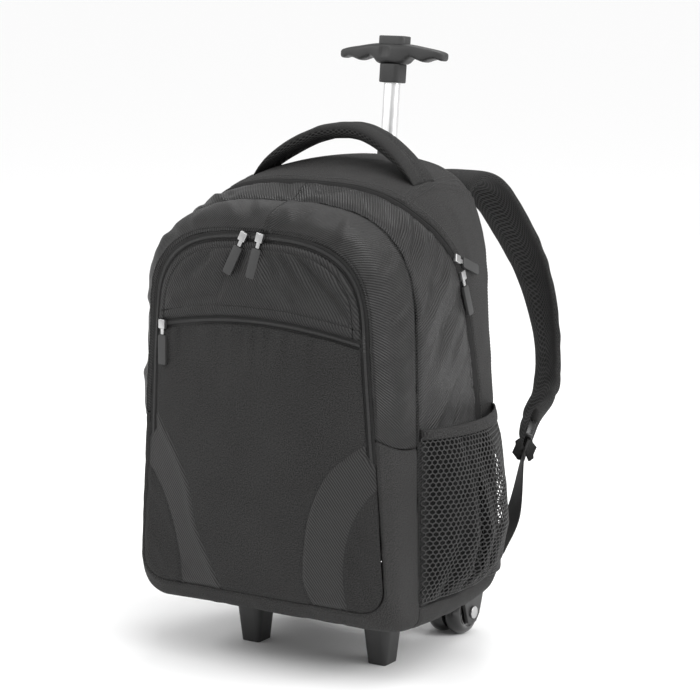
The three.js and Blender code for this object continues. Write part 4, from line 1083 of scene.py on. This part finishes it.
PADDED = padded_cloth("Padded cloth")
share = np.linspace(-1, 1, 190)[:, None]
angle = np.linspace(0, 2 * np.pi, 64, endpoint=False)[None, :]
x = share * GRAB_SPAN / 2
lift = (1 - share ** 2) ** 2
y = 58 + 14 * lift + bent(np.cos(angle), 0.62) * GRAB_WIDTH / 2 * (1 - 0.1 * lift)
under = top_face(x + 0 * y, y) + 1.3 + 20 * lift - 1.5 * np.clip((np.abs(share) - 0.94) / 0.06, 0, 1)
ends_level = np.max(under, axis=1, keepdims=True)
straight = np.clip(8 * (1 - np.abs(share)), 0, 1)
under = under + (ends_level - under) * straight
thick = 3.5 + 12.5 * (1 - np.abs(share) ** 6)
up = 0.5 - 0.5 * bent(np.sin(angle), 0.7)
z = under + up * thick
seam = np.exp(-(((y - 58 - 14 * lift) / 1.3) ** 2)) * (np.sin(angle) < 0)
z = z - 1.1 * seam + 0.5 * soft_noise(x * 1.0 + 0 * y, y, (12, 30), 71) * (1 - np.abs(share) ** 8)
rings = np.stack([x + 0 * z, y, z], -1)
whole = np.linspace(0, 2 * np.pi, 65)[None, :]
handle = tube_mesh("Grab_handle", rings, x, whole * 17, extras={"worn": np.sin(whole) + 0.1})
dress(handle, PADDED, "twill_cloth", "grab_handle")
seam_x = np.linspace(-80, 80, 160)
share = seam_x * 2 / GRAB_SPAN
lift = (1 - share ** 2) ** 2
seam_y = 58 + 14 * lift
crown = top_face(seam_x, seam_y) + 1.3 + 20 * lift + 3.5 + 12.5 * (1 - np.abs(share) ** 6)
rows = []
for offset in (-2.2, 2.2):
    path = np.stack([seam_x, seam_y + offset, crown + 0.1], -1)
    rows.append((path, np.tile([0.0, 0.0, 1.0], (160, 1))))
sew("Handle_stitches", rows, SEAM_THREAD)

# Shoulder straps
# Curved foam pads, plain cloth outside and air mesh inside. Each is sewn into the back panel's seam
# at the top and turns under to the buckle.
STRAP_ROUTE = (
    (0.37, 0.0, 0.875, 0, 0.95), (0.375, 0.06, 0.92, 0, 0.97), (0.4, 0.2, 0.945, -4, 1),
    (0.435, 0.4, 0.915, -8, 1), (0.465, 0.62, 0.83, -13, 1), (0.5, 0.82, 0.73, -20, 1),
    (0.54, 0.92, 0.64, -28, 0.98), (0.59, 0.945, 0.55, -36, 0.95), (0.645, 0.895, 0.475, -43, 0.9),
    (0.705, 0.765, 0.415, -48, 0.86), (0.765, 0.59, 0.378, -55, 0.85), (0.82, 0.42, 0.352, -62, 0.86),
    (0.845, 0.35, 0.34, -66, 0.86),
)
STRAP_WIDTH = 62.0
STRAP_THICK = 11.0


def frames_along(path, turns, widths, steps):
    """Places, and ways along, across and off a band, at even steps of a smooth curve through rows.
    The curve's own variable at each row is the sum of the square roots of the distances."""
    knots = np.concatenate([[0], np.cumsum(np.linalg.norm(np.diff(path, axis=0), axis=1) ** 0.5)])
    at = np.linspace(0, knots[-1], steps)
    place = np.stack([curve_through(at, knots, path[:, i]) for i in range(3)], -1)
    along = np.gradient(place, axis=0)
    along = along / np.linalg.norm(along, axis=1, keepdims=True)
    turn = np.radians(curve_through(at, knots, turns))
    across = np.stack([np.cos(turn), np.sin(turn), 0 * turn], -1)
    across = across - along * np.sum(across * along, axis=1, keepdims=True)
    across = across / np.linalg.norm(across, axis=1, keepdims=True)
    return place, along, across, np.cross(across, along), curve_through(at, knots, widths)


def band_rings(place, across, face, width, thick, power, count):
    """Rings of a band's section: a rounded rectangle as wide and thick as it is given."""
    angle = np.linspace(0, 2 * np.pi, count, endpoint=False)
    a = bent(np.cos(angle), power)[None, :, None] * across[:, None] * (width / 2)
    b = bent(np.sin(angle), power)[None, :, None] * face[:, None] * (thick / 2)
    return place[:, None] + a + b, angle


def mirrored(rings):
    """The same rings on the left side, turned so that they still face outwards."""
    return (rings * np.array([-1, 1, 1]))[:, ::-1]


table = np.array(STRAP_ROUTE)
top_back = depth_place(sizes_at(1.0), 0.0, 494.0)
path = np.stack([table[:, 0] * 156, top_back - 5.5 + table[:, 1] * 178, 58 + table[:, 2] * 436], -1)
path[0, 1] = back_face(path[0, 0] - 31, path[0, 2]) + 5.8
place, along, across, face, width = frames_along(path, table[:, 3], table[:, 4] * STRAP_WIDTH, 260)
share = np.linspace(0, 1, 260)
taper = np.clip(np.minimum(share / 0.02, (1 - share) / 0.02), 0, 1) ** 0.5
thick = STRAP_THICK * (0.45 + 0.55 * taper)
rings, angle = band_rings(place, across, face, width[:, None, None], thick[:, None, None], 0.55, 60)
run = np.concatenate([[0], np.cumsum(np.linalg.norm(np.diff(place, axis=0), axis=1))])
girth = np.concatenate([angle, [2 * np.pi]]) / (2 * np.pi) * 150
ripple = 0.7 * soft_noise(run[:, None] + 0 * angle, 24 * angle[None, :] + 0 * run[:, None], (16, 30), 81)
rings = rings + normals_of(rings) * ripple[..., None]
worn = 0.72 - np.sin(angle)
for side, name in ((1, "right"), (-1, "left")):
    shown = rings if side == 1 else mirrored(rings)
    inward = worn if side == 1 else worn[::-1]
    strap = tube_mesh(
        f"Shoulder_strap_{name}", shown, run[:, None], girth[None, :],
        extras={"worn": np.concatenate([inward, inward[:1]])[None, :]},
    )
    dress(strap, PADDED, "air_mesh", f"shoulder_strap_{name}")

# Strap webbing
# Ribbed flat webbing: a short tab from the pad to the ladder lock, and the long piece from the lock
# down to the base seam.
WEBBING = (26.0, 1.6)


def webbing_cloth(name, shade=0.012):
    """Woven webbing: close ribs across it, in rows that shift by half a rib."""
    material, paint = new_material(name)
    u, v, place = cloth_places(paint)
    ribs = (u + (v * 0.8).wave(1.6) * 0.6).wave(1.3)
    grain = paint.node("ShaderNodeTexNoise", None, {"Vector": place, "Scale": 0.8, "Detail": 1.0})
    colour = (ribs * 0.4 + grain * 0.4).held().mixed(grey(shade * 0.4), grey(shade * 2))
    finish_surface(paint, colour, 0.7, ribs, 0.6, 0.0005, **{"Specular IOR Level": 0.4})
    return material


WOVEN = webbing_cloth("Webbing")
end_place, end_along, end_across, end_face = place[-1], along[-1], across[-1], face[-1]
tab_path = end_place + end_along * np.linspace(-4, 10.5, 12)[:, None]
lower = np.array([0.0, 0.0, 98.0])
lower[0] = side_face(depth_place(sizes_at(1.0), 0.0, 98.0) - 2, 98.0) - 13
lower[1] = back_face(0.42 * 312, 98.0) + 6.6
first = end_place + end_along * 36.5
last_turn = first + end_along * 6
hanging = first * 0.45 + lower * 0.55 + np.array([3.0, 6.0, -10.0])
way_points = np.stack([first, last_turn, hanging, lower])
web_place, _, web_across, web_face, _ = frames_along(
    way_points, np.array([-66.0, -62.0, -30.0, 0.0]), np.full(4, WEBBING[0]), 90
)
tab_rings, web_angle = band_rings(
    tab_path, np.tile(end_across, (12, 1)), np.tile(end_face, (12, 1)), WEBBING[0], WEBBING[1], 0.4, 28
)
long_rings, web_angle = band_rings(web_place, web_across, web_face, WEBBING[0], WEBBING[1], 0.4, 28)
web_girth = np.concatenate([web_angle, [2 * np.pi]]) / (2 * np.pi) * 55
for rings, title in ((tab_rings, "Strap_tab"), (long_rings, "Strap_webbing")):
    steps = np.linalg.norm(np.diff(rings.mean(1), axis=0), axis=1)
    run = np.concatenate([[0], np.cumsum(steps)])
    for side, name in ((1, "right"), (-1, "left")):
        shown = rings if side == 1 else mirrored(rings)
        piece = tube_mesh(f"{title}_{name}", shown, run[:, None], web_girth[None, :])
        dress(piece, WOVEN, "tape_cloth", f"{title.lower()}_{name}")

# Buckles, sliders, pulls, brackets and axles
# Hard pieces that keep their CAD shape: moulded nylon, plated zinc and rubber, with their edges
# rounded and their own finishes.


def plastic(name, value, roughness=0.4, speckle=0.25, coat=0.0):
    """Moulded plastic or rubber: one colour with a fine leathery grain."""
    material, paint = new_material(name)
    place = paint.node("ShaderNodeTexCoord").out("Object")
    grain = paint.node("ShaderNodeTexNoise", None, {"Vector": place, "Scale": 1500.0, "Detail": 2.0})
    wear = paint.node("ShaderNodeTexNoise", None, {"Vector": place, "Scale": 60.0, "Detail": 3.0})
    colour = wear.mixed(grey(value * 0.85, 0), grey(value * 1.2, 0))
    finish_surface(
        paint, colour, wear * 0.15 + roughness - 0.05, grain, speckle, 0.0002, **{"Coat Weight": coat}
    )
    return material


def metal(name, value, roughness):
    """Plated or drawn metal with faint streaks."""
    material, paint = new_material(name)
    place = paint.node("ShaderNodeTexCoord").out("Object")
    wear = paint.node("ShaderNodeTexNoise", None, {"Vector": place, "Scale": 90.0, "Detail": 3.0})
    colour = wear.mixed(grey(value * 0.9, 0), grey(value, 0))
    finish_surface(paint, colour, wear * 0.15 + roughness, wear, 0.05, 0.0002, **{"Metallic": 1.0})
    return material


def round_edges(name, material, width):
    """A CAD node with its shared points joined, its edges rounded and its faces smooth."""
    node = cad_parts[name]
    node.data.materials.clear()
    node.data.materials.append(material)
    node.data.polygons.foreach_set("use_smooth", np.ones(len(node.data.polygons), bool))
    weld = node.modifiers.new("Join", "WELD")
    weld.merge_threshold = 1e-5
    bevel = node.modifiers.new("Edges", "BEVEL")
    bevel.width = width / 1000
    bevel.segments = 3
    bevel.limit_method = "ANGLE"
    bevel.angle_limit = math.radians(30)
    bevel.harden_normals = True


GLOSSY_BLACK = plastic("Glossy nylon", 0.01, 0.25)
BRACKET_GREY = plastic("Bracket plastic", 0.022, 0.45)
PULL_RUBBER = plastic("Pull rubber", 0.03, 0.55)
PLATED = metal("Plated zinc", 0.5, 0.28)
for side in ("right", "left"):
    round_edges(f"strap_buckle_{side}", GLOSSY_BLACK, 1.2)
    round_edges(f"wheel_bracket_{side}", BRACKET_GREY, 1.0)
    round_edges(f"axle_{side}", PLATED, 0.4)
for title in ("front_zip_a", "front_zip_b", "slip_zip", "main_zip_a", "main_zip_b"):
    round_edges(f"{title}_slider", PLATED, 0.7)
    round_edges(f"{title}_pull", PULL_RUBBER, 1.0)

# Feet
# Two hollow moulded posts under the front, wider at the top, that hold the bag level with its wheels.


def block_rings(width, depth, corner, low, high, edge, flare=0.0, count=72):
    """Rings of a block with rounded corners: its upright edges have the radius corner, and quarter
    circles of the radius edge lead into its top and bottom. It widens by flare to its top."""
    turn = -np.linspace(0, 2 * np.pi, count, endpoint=False)
    bend = np.linspace(0, np.pi / 2, 7)
    rise = np.concatenate([low + edge * (1 - np.cos(bend)), high - edge + edge * np.sin(bend)])
    inset = np.concatenate([edge * (1 - np.sin(bend)), edge * (1 - np.cos(bend))])
    grow = flare * (rise - low) / (high - low)
    square = np.maximum(np.abs(np.cos(turn)), np.abs(np.sin(turn)))
    box_x = np.clip(np.cos(turn) / square, -1, 1)
    box_y = np.clip(np.sin(turn) / square, -1, 1)
    half_x, half_y = width / 2, depth / 2
    round_x = np.clip(box_x * half_x, -(half_x - corner), half_x - corner)
    round_y = np.clip(box_y * half_y, -(half_y - corner), half_y - corner)
    push = np.stack([box_x * half_x - round_x, box_y * half_y - round_y], -1)
    length = np.linalg.norm(push, axis=1, keepdims=True)
    push = np.divide(push, length, out=np.zeros_like(push), where=length > 1e-9)
    reach = corner + grow[:, None] - inset[:, None]
    x = round_x[None] + push[None, :, 0] * reach
    y = round_y[None] + push[None, :, 1] * reach
    return np.stack([x, y, rise[:, None] + 0 * x], -1)


FOOT_TOP = 57.0
for side, name in ((1, "right"), (-1, "left")):
    rings = block_rings(21.0, 23.0, 3.0, 0.0, FOOT_TOP, 1.2, flare=7.0)
    rings = rings + np.array([side * 75.5, 11.5, 0])
    foot = tube_mesh(f"Foot_{name}", rings, 0.0, 0.0)
    dress(foot, BRACKET_GREY, "black_plastic", f"foot_{name}")

# Wheels
# Each side runs on a twin wheel: two rounded treads of hard rubber with a groove between them.
WHEEL_RADIUS = 24.0
AXLE_PLACE = 142.0
WHEEL_RUBBER = plastic("Wheel rubber", 0.012, 0.22, coat=0.4)
bend = np.linspace(0, np.pi, 21)
tread_x = -np.cos(bend) * 9.0
tread_r = WHEEL_RADIUS - 6.0 * (1 - np.sin(bend))
profile = np.concatenate([
    [[-19, 4.3], [-19, 9.0], [-18, 10.0], [-18, 14.5], [-19, 15.5]],
    np.stack([tread_x - 10, tread_r], -1),
    [[-1, 15.2], [1, 15.2]],
    np.stack([tread_x + 10, tread_r], -1),
    [[19, 15.5], [18, 14.5], [18, 10.0], [19, 9.0], [19, 4.3], [-19, 4.3]],
])
turn = -np.linspace(0, 2 * np.pi, 97)
for side, name in ((1, "right"), (-1, "left")):
    x = profile[:, :1] + side * 82 + 0 * turn
    y = AXLE_PLACE + profile[:, 1:] * np.cos(turn)
    z = WHEEL_RADIUS + profile[:, 1:] * np.sin(turn)
    points = np.stack([x, y, z], -1)
    wheel = sheet_mesh(f"Wheel_{name}", points, turn * 24, profile[:, :1], wall=0, closed=True)
    dress(wheel, WHEEL_RUBBER, "tyre_rubber", f"wheel_{name}", body=f"{name}_wheel")

# Telescopic pole
# One aluminium tube that slides in a sleeve in the back and leans a little. It ends in a collar and
# a moulded grip with finger hollows, and a rubber button in the grip frees the tube.
POLE_FOOT = 96.0
POLE_LEAN = math.radians(6.45)
COLLAR_LOW = 508.92
GRIP_LOW = 528.22


def on_pole(rings):
    """Points measured along the pole, turned back by its lean and put on its foot."""
    x, y, z = np.moveaxis(rings, -1, 0)
    back_by = POLE_FOOT + y * math.cos(POLE_LEAN) + z * math.sin(POLE_LEAN)
    return np.stack([x, back_by, 58 - y * math.sin(POLE_LEAN) + z * math.cos(POLE_LEAN)], -1)


TUBE = metal("Drawn aluminium", 0.9, 0.3)
GRIP_PLASTIC = plastic("Grip plastic", 0.022, 0.5, speckle=0.4)
round_edges("pole_sleeve", GRIP_PLASTIC, 0.6)
rings = block_rings(17, 13, 6, GRIP_LOW - 412.3, GRIP_LOW - 0.3, 0.4)
tube = tube_mesh("Pole_tube", on_pole(rings), 0.0, 0.0)
dress(tube, TUBE, "aluminium", "pole_tube", body="pole")
collar_rings = block_rings(25, 20, 6, COLLAR_LOW, COLLAR_LOW + 19, 1.2)
collar = tube_mesh("Grip_collar", on_pole(collar_rings), 0.0, 0.0)
dress(collar, GRIP_PLASTIC, "black_plastic", "grip_collar", body="pole")

places = np.array([0, 0.25, 0.31, 0.38, 0.48, 0.6, 0.72, 0.82, 0.92, 0.985, 1.0])
under = np.array([0, 0.01, 0.18, 0.3, 0.2, 0.11, 0.21, 0.27, 0.2, 0.3, 0.45])
over_places = np.array([0, 0.3, 0.6, 0.88, 0.975, 1.0])
over = np.array([1.0, 0.96, 0.83, 0.68, 0.58, 0.51])
share = np.sin(np.linspace(-np.pi / 2, np.pi / 2, 200))[:, None]
turn = np.linspace(0, 2 * np.pi, 56, endpoint=False)[None, :]
low = curve_through(np.abs(share), places, under) * 21
high = curve_through(np.abs(share), over_places, over) * 21
depth = 11.5 * (1 - 0.1 * np.abs(share) ** 2) * np.sqrt(np.clip(1.0002 - np.abs(share) ** 14, 0, 1))
neck = np.exp(-((share / 0.3) ** 4))
depth = depth * (1 - 0.12 * (1 - neck))
y = bent(np.cos(turn), 0.6) * depth
z = GRIP_LOW + (low + high) / 2 - bent(np.sin(turn), 0.55) * (high - low) / 2
dimple = np.exp(-(((share * 62.5 + 5) / 5.5) ** 4) - ((z - GRIP_LOW - 12.5) / 5.0) ** 4) * (np.cos(turn) < 0)
y = y + 1.4 * dimple
grip = tube_mesh("Grip", on_pole(np.stack([share * 62.5 + 0 * z, y, z], -1)), 0.0, 0.0)
dress(grip, GRIP_PLASTIC, "black_plastic", "grip", body="pole")
button_rings = block_rings(31, 18, 5, GRIP_LOW + 19, GRIP_LOW + 28, 1.0)
button = tube_mesh("Grip_button", on_pole(button_rings), 0.0, 0.0)
dress(button, plastic("Button rubber", 0.035, 0.5), "grey_rubber", "grip_button", body="button")

# Studio
# A pale seamless floor under soft light from large boxes, seen from the photograph's viewpoint.
floor_mesh = bpy.data.meshes.new("Floor")
floor_mesh.from_pydata([(-30, -30, 0), (30, -30, 0), (30, 30, 0), (-30, 30, 0)], [], [(0, 1, 2, 3)])
floor = bpy.data.objects.new("Floor", floor_mesh)
bpy.context.scene.collection.objects.link(floor)
material, paint = new_material("Pale floor")
finish_surface(paint, (0.95, 0.95, 0.95, 1), 0.9)
floor_mesh.materials.append(material)
floor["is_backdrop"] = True

world = bpy.data.worlds.new("Studio")
world.use_nodes = True
world.node_tree.nodes["Background"].inputs["Color"].default_value = (1, 1, 1, 1)
world.node_tree.nodes["Background"].inputs["Strength"].default_value = 0.6
bpy.context.scene.world = world
bpy.context.scene.view_settings.view_transform = "Standard"


def soft_box(name, place, target, size, power):
    """A square area light that faces its target."""
    lamp = bpy.data.lights.new(name, "AREA")
    lamp.size = size
    lamp.energy = power
    holder = bpy.data.objects.new(name, lamp)
    holder.location = place
    away = Vector(place) - Vector(target)
    holder.rotation_euler = away.to_track_quat("Z", "Y").to_euler()
    bpy.context.scene.collection.objects.link(holder)


soft_box("Left_box", (-1.7, -1.5, 1.7), (0, 0, 0.3), 1.1, 24)
soft_box("Right_box", (2.3, 0.3, 1.3), (0, 0, 0.3), 1.0, 26)
soft_box("Top_box", (-0.1, 0.5, 2.0), (0, 0, 0.3), 1.0, 14)
sun = bpy.data.lights.new("Sun", "SUN")
sun.energy = 1.75
sun.angle = 0.9
sun_object = bpy.data.objects.new("Sun", sun)
sun_object.rotation_euler = Vector((1.0, -0.4, 1.4)).to_track_quat("Z", "Y").to_euler()
bpy.context.scene.collection.objects.link(sun_object)
sun_object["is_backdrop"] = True

view = bpy.data.cameras.new("Camera")
view.sensor_width = 36
view.lens = 2461.4 / 700 * 36
view.clip_end = 100
camera = bpy.data.objects.new("Camera", view)
camera.location = (1.2977, (-2005.0 + FRONT_OF_FEET) / 1000, 0.735)
camera.rotation_euler = (math.radians(90 - 10.09), 0, math.radians(32))
bpy.context.scene.collection.objects.link(camera)
bpy.context.scene.camera = camera

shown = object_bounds()
